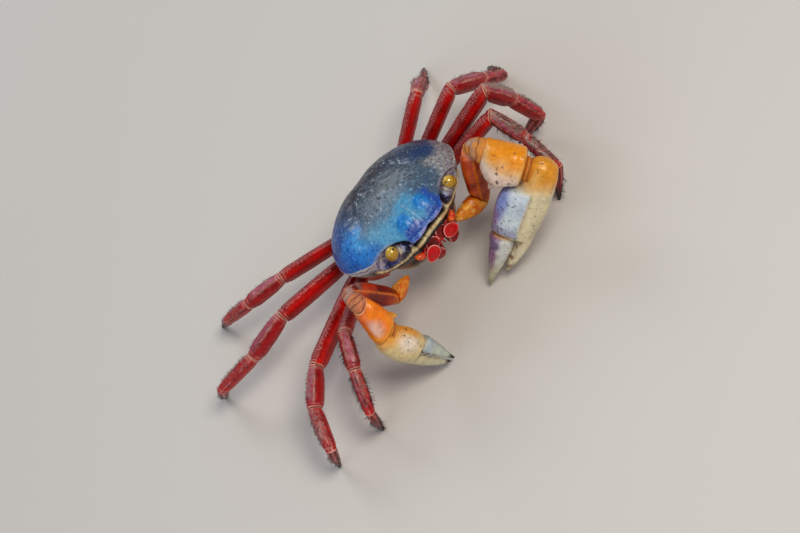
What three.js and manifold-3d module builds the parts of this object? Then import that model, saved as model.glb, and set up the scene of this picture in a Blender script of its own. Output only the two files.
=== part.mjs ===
// A life-size museum model of a mouthless land crab: blue back, red legs, one large claw.
// Millimetres, +Z up. The crab faces -Y, so its left side is +X. It stands on the plane z = 0.
import * as THREE from 'three';
import { mergeVertices } from 'three/addons/utils/BufferGeometryUtils.js';
import Module from 'manifold-3d';

const wasm = await Module();
wasm.setup();

// ---------------------------------------------------------------- driving dimensions
const SHELL_WIDTH = 80; // across the widest part of the back
const SHELL_RISE = 17; // top of the back over the body's centre
const SHELL_SKIRT = 13.6; // lowest edge of the side wall under the body's centre
const BODY_HEIGHT = 45.2; // centre of the body over the floor
const BODY_PITCH = 13.9; // degrees, nose up
const GAP = 0.3; // between pieces that meet
const SEAM_MARGIN = 0.4; // least depth of a segment behind the plane that cuts its end
const FOOT_RADIUS = 0.9; // flat end of each leg
const STALK_LENGTH = 5; // eyestalk, from its foot to the cornea
const CORNEA_LENGTH = 6.4;
const TAIL_THICKNESS = 2.4;

// ---------------------------------------------------------------- small helpers
const rad = THREE.MathUtils.degToRad;
const vec = (x, y, z) => new THREE.Vector3(x, y, z);
const along = (point, direction, distance) => point.clone().addScaledVector(direction, distance);

// A direction from its yaw (forward of straight out to the side) and its pitch (above level).
function aim(side, yaw, pitch) {
  const flat = Math.cos(rad(pitch));
  return vec(side * flat * Math.cos(rad(yaw)), -flat * Math.sin(rad(yaw)), Math.sin(rad(pitch)));
}

// A point or a direction of the level body, turned with the body's pitch.
const pitchUp = (v) => v.clone().applyAxisAngle(vec(1, 0, 0), rad(-BODY_PITCH));
const onBody = (x, forward, up) => pitchUp(vec(x, -forward, up)).add(vec(0, 0, BODY_HEIGHT));

// A closed section: an oval that narrows to a crest on top and can be squared.
function section(sides, height, thick, { crest = 0, square = 0.9 } = {}) {
  const points = [];
  for (let k = 0; k < sides; k++) {
    const turn = (2 * Math.PI * (k + 0.5)) / sides;
    const c = Math.cos(turn);
    const s = Math.sin(turn);
    const narrow = 1 - crest * Math.max(0, s) ** 2;
    const across = Math.sign(c) * Math.abs(c) ** square * (thick / 2) * narrow;
    points.push([across, Math.sign(s) * Math.abs(s) ** square * (height / 2)]);
  }
  return points;
}

// A closed body through rings of points, with a flat fan on each end.
function loft(rings) {
  const count = rings[0].length;
  const positions = [];
  const index = [];
  rings.forEach((ring) => ring.forEach((p) => positions.push(p.x, p.y, p.z)));
  for (let i = 0; i + 1 < rings.length; i++) {
    for (let k = 0; k < count; k++) {
      const a = i * count + k;
      const b = i * count + ((k + 1) % count);
      index.push(a, b, b + count, a, b + count, a + count);
    }
  }
  [0, rings.length - 1].forEach((end) => {
    const centre = vec(0, 0, 0);
    rings[end].forEach((p) => centre.addScaledVector(p, 1 / count));
    const hub = positions.length / 3;
    positions.push(centre.x, centre.y, centre.z);
    for (let k = 0; k < count; k++) {
      const a = end * count + k;
      const b = end * count + ((k + 1) % count);
      if (end) index.push(a, b, hub);
      else index.push(b, a, hub);
    }
  });
  return outward(positions, index);
}

// Geometry from positions and triangles, turned inside out where its volume is negative.
function outward(positions, index) {
  const at = (i) => vec(positions[3 * i], positions[3 * i + 1], positions[3 * i + 2]);
  let volume = 0;
  for (let i = 0; i < index.length; i += 3) {
    volume += at(index[i]).dot(at(index[i + 1]).cross(at(index[i + 2])));
  }
  if (volume < 0) index.reverse();
  const geometry = new THREE.BufferGeometry();
  geometry.setAttribute('position', new THREE.Float32BufferAttribute(positions, 3));
  geometry.setIndex(index);
  return geometry;
}

// ---------------------------------------------------------------- joins and cuts
function toSolid(geometry) {
  const bare = geometry.clone();
  bare.deleteAttribute('normal');
  bare.deleteAttribute('uv');
  const merged = mergeVertices(bare, 1e-4);
  const vertProperties = new Float32Array(merged.attributes.position.array);
  const triVerts = new Uint32Array(merged.index.array);
  return new wasm.Manifold(new wasm.Mesh({ numProp: 3, vertProperties, triVerts }));
}

function toGeometry(solid) {
  const mesh = solid.getMesh();
  const geometry = new THREE.BufferGeometry();
  geometry.setAttribute('position', new THREE.Float32BufferAttribute(mesh.vertProperties, 3));
  geometry.setIndex(Array.from(mesh.triVerts));
  return geometry;
}

// An ellipsoid about a centre, on three right-handed axes.
function ball(centre, axes, halfSizes) {
  const frame = new THREE.Matrix4().makeBasis(...axes).scale(vec(...halfSizes)).setPosition(centre);
  return new THREE.SphereGeometry(1, 16, 10).applyMatrix4(frame);
}

const cutAway = (body, tools) =>
  toGeometry(tools.reduce((left, tool) => left.subtract(toSolid(tool)), toSolid(body)));

// ---------------------------------------------------------------- materials
const shellBlue = { color: '#2f5f9e', roughness: 0.3 };
const shellCream = { color: '#cdbb9c', roughness: 0.5 };
const faceRed = { color: '#c9301f', roughness: 0.4 };
const legRed = { color: '#b3261f', roughness: 0.42 };
const legJoint = { color: '#d2604a', roughness: 0.42 };
const clawOrange = { color: '#d9761f', roughness: 0.35 };
const clawAmber = { color: '#e39a3c', roughness: 0.35 };
const clawCream = { color: '#d8c6ae', roughness: 0.4 };
const stalkBeige = { color: '#b9ab95', roughness: 0.45 };
const corneaYellow = { color: '#c79a2c', roughness: 0.15 };

const crab = new THREE.Group();

function addNode(name, geometry, look) {
  const mesh = new THREE.Mesh(geometry, new THREE.MeshStandardMaterial({ ...look, metalness: 0 }));
  mesh.name = name;
  crab.add(mesh);
}

// ---------------------------------------------------------------- body
// The left half of the back's outline seen from above, from front to back, as shares of half
// the shell's width: [out to the side, forward].
const SHELL_OUTLINE = [
  [0, 0.81], [0.2, 0.8], [0.375, 0.735], [0.6, 0.6375], [0.825, 0.515], [0.95, 0.3125],
  [1, 0.0625], [0.965, -0.2125], [0.835, -0.475], [0.6125, -0.675], [0.35, -0.78], [0, -0.765],
];

// The whole outline as evenly spaced points.
function shellOutline(count) {
  const scale = SHELL_WIDTH / 2;
  const left = SHELL_OUTLINE.map(([x, f]) => vec(x * scale, f * scale, 0));
  const right = left.slice(1, -1).reverse().map((p) => vec(-p.x, p.y, 0));
  const curve = new THREE.CatmullRomCurve3([...left, ...right], true, 'centripetal');
  return curve.getSpacedPoints(count).slice(0, count);
}

// The edge of the back slopes down from the front lip to the hind end.
const EDGE_LEVEL = -0.6;
const EDGE_SLOPE = 0.115;
const edgeHeight = (forward) => EDGE_LEVEL + EDGE_SLOPE * forward;

// The back rises in rings between its top and its edge, 90 degrees from the top. Powers under
// 1 fill the outline out early, and over 1 flatten the top.
const BACK_RINGS = [8, 22, 37, 52, 66, 78, 90];
const BACK_SPREAD = 0.86;
const BACK_RISE = 1.15;

// The side wall turns in under the edge, more at the flanks than at the face. Rows are
// [share of the drop, share of the outline at the flanks, at the face, behind].
const SKIRT = [
  [0.28, 0.95, 0.97, 0.95],
  [0.62, 0.81, 0.95, 0.86],
  [1, 0.62, 0.86, 0.78],
];

// Each eye lies in a socket of the shell's front, the right one drawn further in than the
// left. Points are [to the side, forward, up].
const EYES = {
  left: { socket: [22.8, 28.4, -1], foot: [15.6, 28, -0.4], centre: [22.5, 28.2, 2.2] },
  right: { socket: [-21.6, 27.8, 0.2], foot: [-14, 28.2, 0], centre: [-20.6, 27.6, 3.2] },
};
const SOCKET_HALF = [11.4, 7, 7.4];
const MOUTH = { centre: [0, 30, -14.4], half: [16.4, 7.8, 9] };

function carapace() {
  const outline = shellOutline(40);
  const rings = BACK_RINGS.map((turn) => {
    const spread = Math.sin(rad(turn)) ** BACK_SPREAD;
    const rise = Math.cos(rad(turn)) ** BACK_RISE;
    return outline.map((p) => {
      const edge = edgeHeight(p.y);
      return onBody(p.x * spread, p.y * spread, edge + (SHELL_RISE - edge) * rise);
    });
  });
  for (const [drop, flank, face, back] of SKIRT) {
    rings.push(outline.map((p) => {
      const edge = edgeHeight(p.y);
      const share = p.y > 0 ? face : back;
      return onBody(p.x * flank, p.y * share, edge - (SHELL_SKIRT + edge) * drop);
    }));
  }
  const up = pitchUp(vec(0, 0, 1));
  const sockets = Object.values(EYES).map(({ socket }) => {
    const across = pitchUp(vec(Math.sign(socket[0]), 0.5, 0.02).normalize());
    return ball(onBody(...socket), [across, up, across.clone().cross(up)], SOCKET_HALF);
  });
  const mouthAxes = [vec(1, 0, 0), up, pitchUp(vec(0, -1, 0))];
  return cutAway(loft(rings), [...sockets, ball(onBody(...MOUTH.centre), mouthAxes, MOUTH.half)]);
}

// The thorax carries the legs; its underside is the breastplate. Rows are
// [up, half width, reach forward, reach back].
const THORAX = [
  [-14.1, 22.4, 18.2, 25],
  [-17, 22.8, 18.8, 25.2],
  [-20.5, 22, 18.4, 22.6],
  [-23.5, 17, 15.4, 17.5],
  [-24.4, 11, 11, 12],
];

const rounded = (value, power) => Math.sign(value) * Math.abs(value) ** power;

function thorax() {
  const sides = 24;
  return loft(THORAX.map(([up, half, front, back]) => {
    const ring = [];
    for (let k = 0; k < sides; k++) {
      const turn = (2 * Math.PI * k) / sides;
      const forward = rounded(Math.sin(turn), 0.75);
      ring.push(onBody(half * rounded(Math.cos(turn), 0.62), forward * (forward > 0 ? front : back), up));
    }
    return ring;
  }));
}

// The narrow tail of a male, folded round the back end and forward under the breastplate.
// Stations are [forward, up, direction of the route in degrees, half width].
const TAIL = [
  [-28.2, -13.9, -80, 9], [-27.2, -18.5, -60, 9.5], [-23, -23.2, -35, 9], [-15, -26.4, -10, 8],
  [-6, -27.1, 0, 6], [4, -27.1, 0, 4], [11, -27.1, 0, 2],
];

function abdomen() {
  return loft(TAIL.map(([forward, up, turn, half]) => {
    const out = [Math.sin(rad(turn)), -Math.cos(rad(turn))];
    return section(10, TAIL_THICKNESS, 2 * half, { square: 0.7 }).map(([across, lift]) =>
      onBody(across, forward + out[0] * lift, up + out[1] * lift));
  }));
}

// ---------------------------------------------------------------- face
// Sections of an eyestalk and of a cornea: [place along it, height, thickness].
const STALK = [[0, 3.4, 3.4], [0.3, 4.4, 4.4], [0.62, 4, 4], [0.86, 5.2, 5.2], [1, 4.4, 4.4]];
const CORNEA = [
  [0, 4.6, 5.2], [0.12, 5.8, 6.6], [0.42, 6.2, 7.4], [0.72, 5.2, 6.2], [0.92, 2.8, 3.4],
];

function eyePieces(name) {
  const foot = onBody(...EYES[name].foot);
  const axis = onBody(...EYES[name].centre).sub(foot).normalize();
  const out = axis.clone().cross(pitchUp(vec(0, 0.1, 1))).normalize();
  const level = out.clone().cross(axis);
  const bulb = (from, length, stations, sides) => loft(stations.map(([t, thick, tall]) => {
    const middle = along(from, axis, t * length);
    return section(sides, tall, thick).map(([a, b]) => along(along(middle, out, a), level, b));
  }));
  addNode(`eyestalk_${name}`, bulb(foot, STALK_LENGTH, STALK, 10), stalkBeige);
  const front = along(foot, axis, STALK_LENGTH + GAP);
  addNode(`eye_${name}`, bulb(front, CORNEA_LENGTH, CORNEA, 12), corneaYellow);
}

// The third maxilliped: the outer plate that closes one half of the mouth. Rows are
// [up, thickness, width, distance of its middle from the crab's middle].
const MOUTH_PLATE = [
  [-22, 3.6, 4.5, 5], [-19.6, 6.8, 7, 5.4], [-15.6, 8.4, 9, 6.4], [-11.6, 7.2, 8.6, 7.2],
  [-9.2, 3.6, 5, 7.6],
];
const PLATE_FORWARD = 28.9; // its back face where it is level with the body's centre
const PLATE_LEAN = 0.1; // its upper end leans forward

function maxilliped(side) {
  return loft(MOUTH_PLATE.map(([up, thick, wide, from]) =>
    section(10, thick, wide, { square: 0.85 }).map(([across, lift]) =>
      onBody(side * (from + across), PLATE_FORWARD + PLATE_LEAN * up + lift / 2, up))));
}

// ---------------------------------------------------------------- limbs
// Each limb is a chain of joints. A frame is carried along it without twist, and two segments
// meet on the plane that halves the bend between them, with a thin gap.
function carryFrame(points, side) {
  const axes = points.slice(1).map((p, i) => p.clone().sub(points[i]).normalize());
  let across = vec(axes[0].y, -axes[0].x, 0).multiplyScalar(-side).normalize();
  return axes.map((axis, i) => {
    if (i > 0) {
      const turn = new THREE.Quaternion().setFromUnitVectors(axes[i - 1], axis);
      across = across.clone().applyQuaternion(turn).normalize();
    }
    return { axis, across, lift: axis.clone().cross(across).multiplyScalar(side) };
  });
}

// One ring of a segment, slid along the segment onto the plane that cuts it there.
function limbRing(frame, centre, outline, planePoint, planeNormal) {
  return outline.map(([across, lift]) => {
    const p = along(along(centre, frame.across, across), frame.lift, lift);
    if (!planeNormal) return p;
    const reach = planePoint.clone().sub(p).dot(planeNormal) / frame.axis.dot(planeNormal);
    return along(p, frame.axis, reach);
  });
}

// A segment from joint to joint. Stations are [place along it, height, thickness].
function segment(points, frames, i, stations, sides, style = {}) {
  const frame = frames[i];
  const start = points[i];
  const length = points[i + 1].distanceTo(start);
  const seam = (a, b) => a.axis.clone().add(b.axis).normalize();
  const first = i > 0 ? seam(frames[i - 1], frame) : style.facing;
  const last = i + 1 < frames.length && seam(frame, frames[i + 1]);
  const cuts = [
    { normal: first, ahead: 1, on: first && along(start, first, GAP / 2) },
    { normal: last, ahead: -1, on: last && along(points[i + 1], last, -GAP / 2) },
  ];
  return loft(stations.map(([t, height, thick], k) => {
    const centre = along(start, frame.axis, t * length);
    const cut = k === 0 ? first : k === stations.length - 1 ? last : null;
    const ring = section(sides, height * (cut ? frame.axis.dot(cut) : 1), thick, style);
    if (!cut) return limbRing(frame, centre, ring).map((p) => clear(p, frame, cuts));
    return limbRing(frame, centre, ring, k === 0 ? cuts[0].on : cuts[1].on, cut);
  }));
}

// A point of a segment, slid along it where it would reach past either of its end planes.
function clear(point, frame, cuts) {
  return cuts.reduce((p, { on, normal, ahead }) => {
    if (!normal) return p;
    const short = SEAM_MARGIN - p.clone().sub(on).dot(normal) * ahead;
    return short > 0 ? along(p, frame.axis, (ahead * short) / frame.axis.dot(normal)) : p;
  }, point);
}

const stretch = (stations, high, wide = high) => stations.map(([t, h, w]) => [t, h * high, w * wide]);

// Sections of a walking leg of nominal size: [place, height, thickness].
const HIP = [[0, 7.4, 6.6], [0.45, 8.4, 7.2], [1, 7, 6.2]];
const MERUS = [
  [0, 7.6, 6.4], [0.14, 10, 7.2], [0.42, 11.8, 7.6], [0.74, 11.7, 7.8], [0.93, 10.8, 7.6], [1, 9, 7],
];
const CARPUS = [[0, 8.4, 6.8], [0.2, 9.6, 7.8], [0.6, 10.6, 8.4], [0.88, 10.2, 8], [1, 8.6, 7]];
const PROPODUS = [[0, 8, 6.6], [0.16, 9, 7], [0.55, 8.8, 6.8], [0.87, 7.8, 6.2], [1, 6.6, 5.6]];
const DACTYL = [[0, 6.2, 5.2], [0.14, 6.6, 5.3], [0.5, 5.2, 4.2], [0.8, 3.4, 2.9], [1, 1.8, 1.8]];

// For each pair: where the hip leaves the body [side, forward, up], the lengths of hip, merus,
// carpus, propodus and dactyl, and the girth against the nominal sections.
const PAIRS = [
  { root: [25, -2, -20.5], lengths: [11.8, 39.6, 19, 22, 25.6], girth: 0.92 },
  { root: [25, -10, -20.5], lengths: [12, 53.5, 21.2, 22.5, 25.9], girth: 1 },
  { root: [22.4, -17, -20], lengths: [12.4, 44.9, 24.6, 27.6, 26.7], girth: 0.96 },
  { root: [16, -24, -18.5], lengths: [12.4, 39.6, 22.5, 23.6, 24.9], girth: 0.9 },
];

// The stance: [yaw, pitch] of hip, merus, carpus and propodus, then the yaw of the dactyl,
// whose pitch follows from the height that is left over the floor.
const STANCE = {
  left: [
    [[-25, 24], [36, 30], [82, -46], [97, -34], -144],
    [[-34, 18], [35, 37], [0, -68], [33, -75], -130],
    [[-50, 28], [17, 36], [-14, -48], [-36, -54], -79],
    [[-62, 25], [-9, 27], [-60, -40], [-70, -50], -60],
  ],
  right: [
    [[-30, 23], [38, 19], [50, -19], [50, -32], -78],
    [[-20, 17], [23, 8], [36, -10], [59, -16], -71],
    [[-43, 22], [-3, 15], [-9, -13], [-30, -22], -82],
    [[-66, 23], [-18, 11], [-28, -9], [-53, -31], -78],
  ],
};

function walkingLeg(side, name, pair) {
  const { root, lengths, girth } = PAIRS[pair];
  const stance = STANCE[name][pair];
  const chain = [onBody(side * root[0], root[1], root[2])];
  for (let i = 0; i < 4; i++) chain.push(along(chain[i], aim(side, ...stance[i]), lengths[i]));
  const fall = THREE.MathUtils.radToDeg(Math.asin(Math.min(0.995, chain[4].z / lengths[4])));
  chain.push(along(chain[4], aim(side, stance[4], -fall), lengths[4]));
  const frames = carryFrame(chain, side);
  const label = `leg_${name}_${pair + 1}`;
  const limb = (i, stations, sides, style) =>
    segment(chain, frames, i, stretch(stations, girth), sides, style);
  const facing = aim(side, stance[0][0] / 2, 0);
  addNode(`${label}_hip`, limb(0, HIP, 8, { crest: 0.1, facing }), legJoint);
  addNode(`${label}_merus`, limb(1, MERUS, 10, { crest: 0.4, square: 0.78 }), legRed);
  addNode(`${label}_carpus`, limb(2, CARPUS, 10, { crest: 0.3, square: 0.84 }), legJoint);
  addNode(`${label}_propodus`, limb(3, PROPODUS, 8, { crest: 0.2 }), legRed);
  addNode(`${label}_dactyl`, foot(chain, frames, girth), legRed);
}

// The last segment ends in a small level disc on the floor.
function foot(chain, frames, girth) {
  const i = 4;
  const frame = frames[i];
  const start = chain[i];
  const length = chain[i + 1].distanceTo(start);
  const seam = frames[i - 1].axis.clone().add(frame.axis).normalize();
  return loft(stretch(DACTYL, girth).map(([t, height, thick], k) => {
    const centre = along(start, frame.axis, t * length);
    if (k === 0) {
      const outline = section(8, height * frame.axis.dot(seam), thick);
      return limbRing(frame, centre, outline, along(start, seam, GAP / 2), seam);
    }
    if (k < DACTYL.length - 1) return limbRing(frame, centre, section(8, height, thick));
    // level disc, its points in the same order round the leg
    return section(8, 2 * FOOT_RADIUS, 2 * FOOT_RADIUS).map(([across, lift]) => {
      const p = along(along(centre, frame.across, across), frame.lift, lift);
      const flat = vec(p.x - centre.x, p.y - centre.y, 0);
      const steady = frame.lift.z > 0 ? 1 : -1;
      const shifted = flat.lengthSq() > 1e-6 ? flat.setLength(FOOT_RADIUS) : vec(steady, 0, 0);
      return vec(centre.x + shifted.x, centre.y + shifted.y, 0);
    });
  }));
}

// ---------------------------------------------------------------- chelipeds
// A claw is built in a frame of its own at the wrist: along the palm, over it towards the
// movable finger, and through its thickness.
function clawFrame(wrist, direction, over) {
  const axis = direction.clone().normalize();
  const top = over.clone().addScaledVector(axis, -over.dot(axis)).normalize();
  const through = axis.clone().cross(top);
  return { wrist, axis, top, through };
}

const inClaw = (f, a, d, t) => along(along(along(f.wrist, f.axis, a), f.top, d), f.through, t);

// Rows are [along, lower edge, upper edge, thickness].
function clawBody(f, rows, sides, square = 0.85) {
  return loft(rows.map(([a, low, high, thick]) =>
    section(sides, high - low, thick, { square }).map(([t, d]) =>
      inClaw(f, a, (low + high) / 2 + d, t))));
}

const CLAWS = {
  left: {
    side: 1,
    coxa: [12.6, -26.2, 33],
    elbow: [29.3, -25.8, 26.4],
    knee: [41.6, -27.3, 57.6],
    wrist: [46.7, -56.9, 49],
    palmAim: [-0.692, 0.191, -0.696],
    palmTop: [-0.378, 0.724, 0.575],
    palm: [
      [-9.2, -9.5, -3.5, 5], [-7, -12.6, -0.6, 10], [-2, -14.6, 0.4, 13.4], [4, -15, 0.9, 15.4],
      [7.6, -15, 1.6, 16.2], [11, -15, 7.6, 16.6], [16, -14.9, 9.6, 16.8], [24, -14.2, 10, 16],
      [31, -12.9, 9.1, 14], [35.4, -12.3, 7.6, 12], [35.9, -12.2, -4.2, 9.6], [41, -11.2, -5.2, 8.4],
      [48, -9, -4.6, 6.4], [53.5, -7.1, -4.2, 4], [57, -5.4, -4.2, 1.6],
    ],
    finger: [
      [36.4, -3.4, 6.6, 9], [38, -3.7, 8, 11], [44, -3.8, 7.6, 10], [51, -2.7, 6.3, 8],
      [59, -1, 4.2, 5.2], [65, 0.4, 2.9, 2.8], [67.6, 0.8, 1.8, 1.3],
    ],
  },
  right: {
    side: -1,
    coxa: [-23.4, -24.6, 34.4],
    elbow: [-35.4, -26.3, 34.2],
    knee: [-48.8, -25.6, 62.9],
    wrist: [-54.4, -44.3, 45.4],
    palmAim: [0.245, -0.19, -0.95],
    palmTop: [0.969, 0.077, 0.234],
    palm: [
      [-1.6, -6.2, 3.4, 9.6], [1.5, -8, 4.6, 12], [6, -9.2, 6.6, 13.4], [12, -9.4, 7.6, 13.2],
      [17, -8.8, 7.5, 12], [20, -8.2, 6.6, 10.6], [20.4, -8, -1.4, 8], [26, -7.2, -1.7, 6.6],
      [33, -5.2, -1.2, 5], [39.5, -2.6, -0.1, 3.2], [43.4, -0.3, 0.7, 1.5],
    ],
    finger: [
      [20.9, -0.6, 5.6, 7.2], [22.4, -0.8, 7, 8.2], [28, -0.6, 6.9, 7], [34.5, 0.2, 5.6, 5.2],
      [41, 1.4, 3.9, 3.2], [44.6, 2, 3, 1.3],
    ],
  },
};

// Upper arm and short base of a cheliped, as one chain into the carpus.
const CLAW_BASE = [[0, 2.6, 2.4], [0.22, 6, 5.4], [0.5, 9, 8], [0.8, 9.8, 8.8], [1, 8.2, 7.8]];
const CLAW_MERUS = [
  [0, 7.8, 7.4], [0.14, 10.6, 8.8], [0.45, 13.4, 9.4], [0.78, 13.8, 10], [0.93, 11.6, 9], [1, 8.6, 7.8],
];

// The big claw's carpus: a block whose wrist end faces the side of the palm. Rows are
// [over the palm, near edge, far edge, thickness, shift through the thickness].
const BIG_CARPUS = [
  [23.6, -3.6, 4, 8.2, 9.4], [22.4, -6.4, 6.4, 11.6, 7.4], [18.2, -8.8, 10.6, 16, 4],
  [13, -10.4, 12.2, 17.6, 1.8], [7, -11.2, 9.2, 17, 0.6], [3, -10.6, 6.8, 15, 0], [1.9, -8.4, 5, 11.6, 0],
];
const BIG_SPINE = { row: 3, reach: 3.4, narrow: 0.4 };
const CARPUS_SIDES = 14;
const isSpine = (spine, row, k) => row === spine.row && k === Math.floor(CARPUS_SIDES / 4);

function bigCarpus(f) {
  return loft(BIG_CARPUS.map(([d, near, far, thick, shift], row) => {
    const outline = section(CARPUS_SIDES, far - near, thick, { square: 0.82 });
    return outline.map(([t, a], k) => {
      const middle = (near + far) / 2;
      if (!isSpine(BIG_SPINE, row, k)) return inClaw(f, middle + a, d, shift + t);
      return inClaw(f, middle + a + BIG_SPINE.reach, d, shift + t * BIG_SPINE.narrow);
    });
  }));
}

// The small claw's carpus lies in line with its palm. Rows are
// [along the palm, lower edge, upper edge, thickness, shift through the thickness].
const SMALL_CARPUS = [
  [-20, 6.4, 11, 5.6, -5], [-18, 3.6, 12.4, 9.2, -4], [-13, 0.2, 12.6, 12.4, -2.2],
  [-7.4, -3, 11.6, 13.2, -0.8], [-3.6, -4.9, 10.2, 12.4, 0], [-2.2, -4.4, 9.2, 10.4, 0],
];
const SMALL_SPINE = { row: 5, reach: 0.8, slant: 3 };

function smallCarpus(f) {
  return loft(SMALL_CARPUS.map(([a, low, high, thick, shift], row) =>
    section(CARPUS_SIDES, high - low, thick, { square: 0.82 }).map(([t, d], k) => {
      const middle = (low + high) / 2;
      if (!isSpine(SMALL_SPINE, row, k)) return inClaw(f, a, middle + d, shift + t);
      return inClaw(f, a + SMALL_SPINE.slant, middle + d + SMALL_SPINE.reach, shift + t);
    })));
}

function cheliped(name) {
  const claw = CLAWS[name];
  const f = clawFrame(vec(...claw.wrist), vec(...claw.palmAim), vec(...claw.palmTop));
  const knee = vec(...claw.knee);
  const elbow = vec(...claw.elbow);
  const big = name === 'left';
  const points = [vec(...claw.coxa), elbow, knee];
  const frames = carryFrame(points, claw.side);
  const girth = big ? 1 : 0.82;
  const arm = (i, stations, style) =>
    segment(points, frames, i, stretch(stations, girth), 10, style);
  addNode(`claw_${name}_base`, arm(0, CLAW_BASE), clawOrange);
  addNode(`claw_${name}_merus`, arm(1, CLAW_MERUS, { crest: 0.3 }), legRed);
  addNode(`claw_${name}_carpus`, big ? bigCarpus(f) : smallCarpus(f), clawAmber);
  addNode(`claw_${name}_palm`, clawBody(f, claw.palm, big ? 14 : 12), clawCream);
  addNode(`claw_${name}_finger`, clawBody(f, claw.finger, 10), clawCream);
}

// ---------------------------------------------------------------- the whole crab
addNode('carapace', carapace(), shellBlue);
addNode('thorax', thorax(), shellCream);
addNode('abdomen', abdomen(), shellCream);
for (const [side, name] of [[1, 'left'], [-1, 'right']]) {
  eyePieces(name);
  addNode(`maxilliped_${name}`, maxilliped(side), faceRed);
  cheliped(name);
  for (let pair = 0; pair < PAIRS.length; pair++) walkingLeg(side, name, pair);
}

// The origin is on the floor, under the middle of all that the crab spans.
const middle = new THREE.Box3().setFromObject(crab).getCenter(vec(0, 0, 0));
crab.position.set(-middle.x, -middle.y, 0);

export default crab;
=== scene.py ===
# %% [markdown]
# # A mouthless land crab, life size
# This lesson dresses the packed solids of a land crab as a museum's painted cast. A crab is
# armoured all over, so no skin is stretched over it: each plate of the shell, each segment of a
# leg and each half of a claw is a piece of its own, and soft hide shows only at the joints.
# Lengths are in millimetres until a mesh is made.

import math

import bmesh
import bpy
import numpy as np
from mathutils import Matrix, Vector


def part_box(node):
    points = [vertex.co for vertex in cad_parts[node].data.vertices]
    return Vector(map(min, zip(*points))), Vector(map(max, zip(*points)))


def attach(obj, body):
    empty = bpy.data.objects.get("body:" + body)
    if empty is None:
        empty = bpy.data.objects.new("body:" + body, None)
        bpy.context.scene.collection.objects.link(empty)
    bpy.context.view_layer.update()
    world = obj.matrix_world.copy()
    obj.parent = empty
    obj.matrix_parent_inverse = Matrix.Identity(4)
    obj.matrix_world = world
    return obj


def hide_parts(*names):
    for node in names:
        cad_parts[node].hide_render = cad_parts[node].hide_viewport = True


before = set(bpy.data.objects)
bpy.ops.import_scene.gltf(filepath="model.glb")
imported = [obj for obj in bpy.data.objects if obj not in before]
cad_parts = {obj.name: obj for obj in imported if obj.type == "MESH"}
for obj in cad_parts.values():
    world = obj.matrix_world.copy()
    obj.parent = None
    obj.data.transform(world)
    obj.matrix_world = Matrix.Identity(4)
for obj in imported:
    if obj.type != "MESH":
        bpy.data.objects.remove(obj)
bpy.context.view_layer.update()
MM = 0.001

# %% [markdown]
# ## Colours and node trees
# Paint is mixed as sRGB hex values, but Blender computes with linear light, so one
# function turns the one into the other. A second one adds a shader node with its settings and
# links, which keeps each material to a few readable lines.

# %% Colour and node helpers
def rgb(code):
    """Linear red, green and blue of an sRGB hex colour."""
    share = np.array([int(code[i : i + 2], 16) / 255 for i in (1, 3, 5)])
    return np.where(share <= 0.04045, share / 12.92, ((share + 0.055) / 1.055) ** 2.4)


def add(tree, kind, **given):
    """
    A node in a tree. Lowercase names set its properties, the others its inputs, by name or, as
    in _0, by number: to a value, a socket or the first socket of a node.
    """
    node = tree.nodes.new(kind)
    for name, value in given.items():
        if name[0].islower():
            setattr(node, name, value)
            continue
        socket = node.inputs[int(name[1:]) if name[0] == "_" else name.replace("_", " ")]
        if isinstance(value, bpy.types.Node):
            value = value.outputs[0]
        if isinstance(value, bpy.types.NodeSocket):
            tree.links.new(value, socket)
        else:
            socket.default_value = value
    return node


def material(name, **inputs):
    """A new material, its tree and its shader, whose own sockets are set to the inputs given."""
    made = bpy.data.materials.new(name)
    made.use_nodes = True
    tree = made.node_tree
    tree.nodes.clear()
    shader = add(tree, "ShaderNodeBsdfPrincipled", **inputs)
    add(tree, "ShaderNodeOutputMaterial", Surface=shader)
    return made, tree, shader


print("middle grey in linear light:", rgb("#808080").round(3).tolist())

# %% [markdown]
# ## The room
# A museum shows its models on pale board under soft light: one large lamp above and in
# front, a weaker one on the other side, and a little light from everywhere.

# %% Floor, lamps and world
SCENE = bpy.context.scene
SCENE.view_settings.view_transform = "Standard"
SCENE.view_settings.look = "Medium High Contrast"

FLOOR_HALF = 2.5
board = material("matt_pale_board", Base_Color=(*rgb("#d9d6d0"), 1), Roughness=0.85)[0]
floor_mesh = bpy.data.meshes.new("floor")
corners = [(-1, -1), (1, -1), (1, 1), (-1, 1)]
floor_mesh.from_pydata([(x * FLOOR_HALF, y * FLOOR_HALF, 0) for x, y in corners], [], [(0, 1, 2, 3)])
floor_mesh.materials.append(board)
floor = bpy.data.objects.new("floor", floor_mesh)
SCENE.collection.objects.link(floor)

# place in metres, side of the square in metres, power in watts, colour
LAMPS = {
    "key_lamp": ((0.35, -0.75, 1.15), 0.5, 8.5, "#fff6ea"),
    "fill_lamp": ((-1.0, -0.35, 0.6), 0.9, 2.2, "#e6efff"),
    "back_lamp": ((0.1, 0.9, 0.8), 0.6, 2.6, "#f4f4ff"),
}
for name, (place, side, power, tint) in LAMPS.items():
    lamp = bpy.data.lights.new(name, "AREA")
    lamp.size = side
    lamp.energy = power
    lamp.color = rgb(tint)
    holder = bpy.data.objects.new(name, lamp)
    holder.location = place
    holder.rotation_euler = (-Vector(place)).to_track_quat("-Z", "Y").to_euler()
    SCENE.collection.objects.link(holder)

world = bpy.data.worlds.new("soft_room")
world.use_nodes = True
world.node_tree.nodes["Background"].inputs["Color"].default_value = (*rgb("#e9eef4"), 1)
world.node_tree.nodes["Background"].inputs["Strength"].default_value = 0.3
SCENE.world = world
print("lamps:", list(LAMPS))

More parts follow.
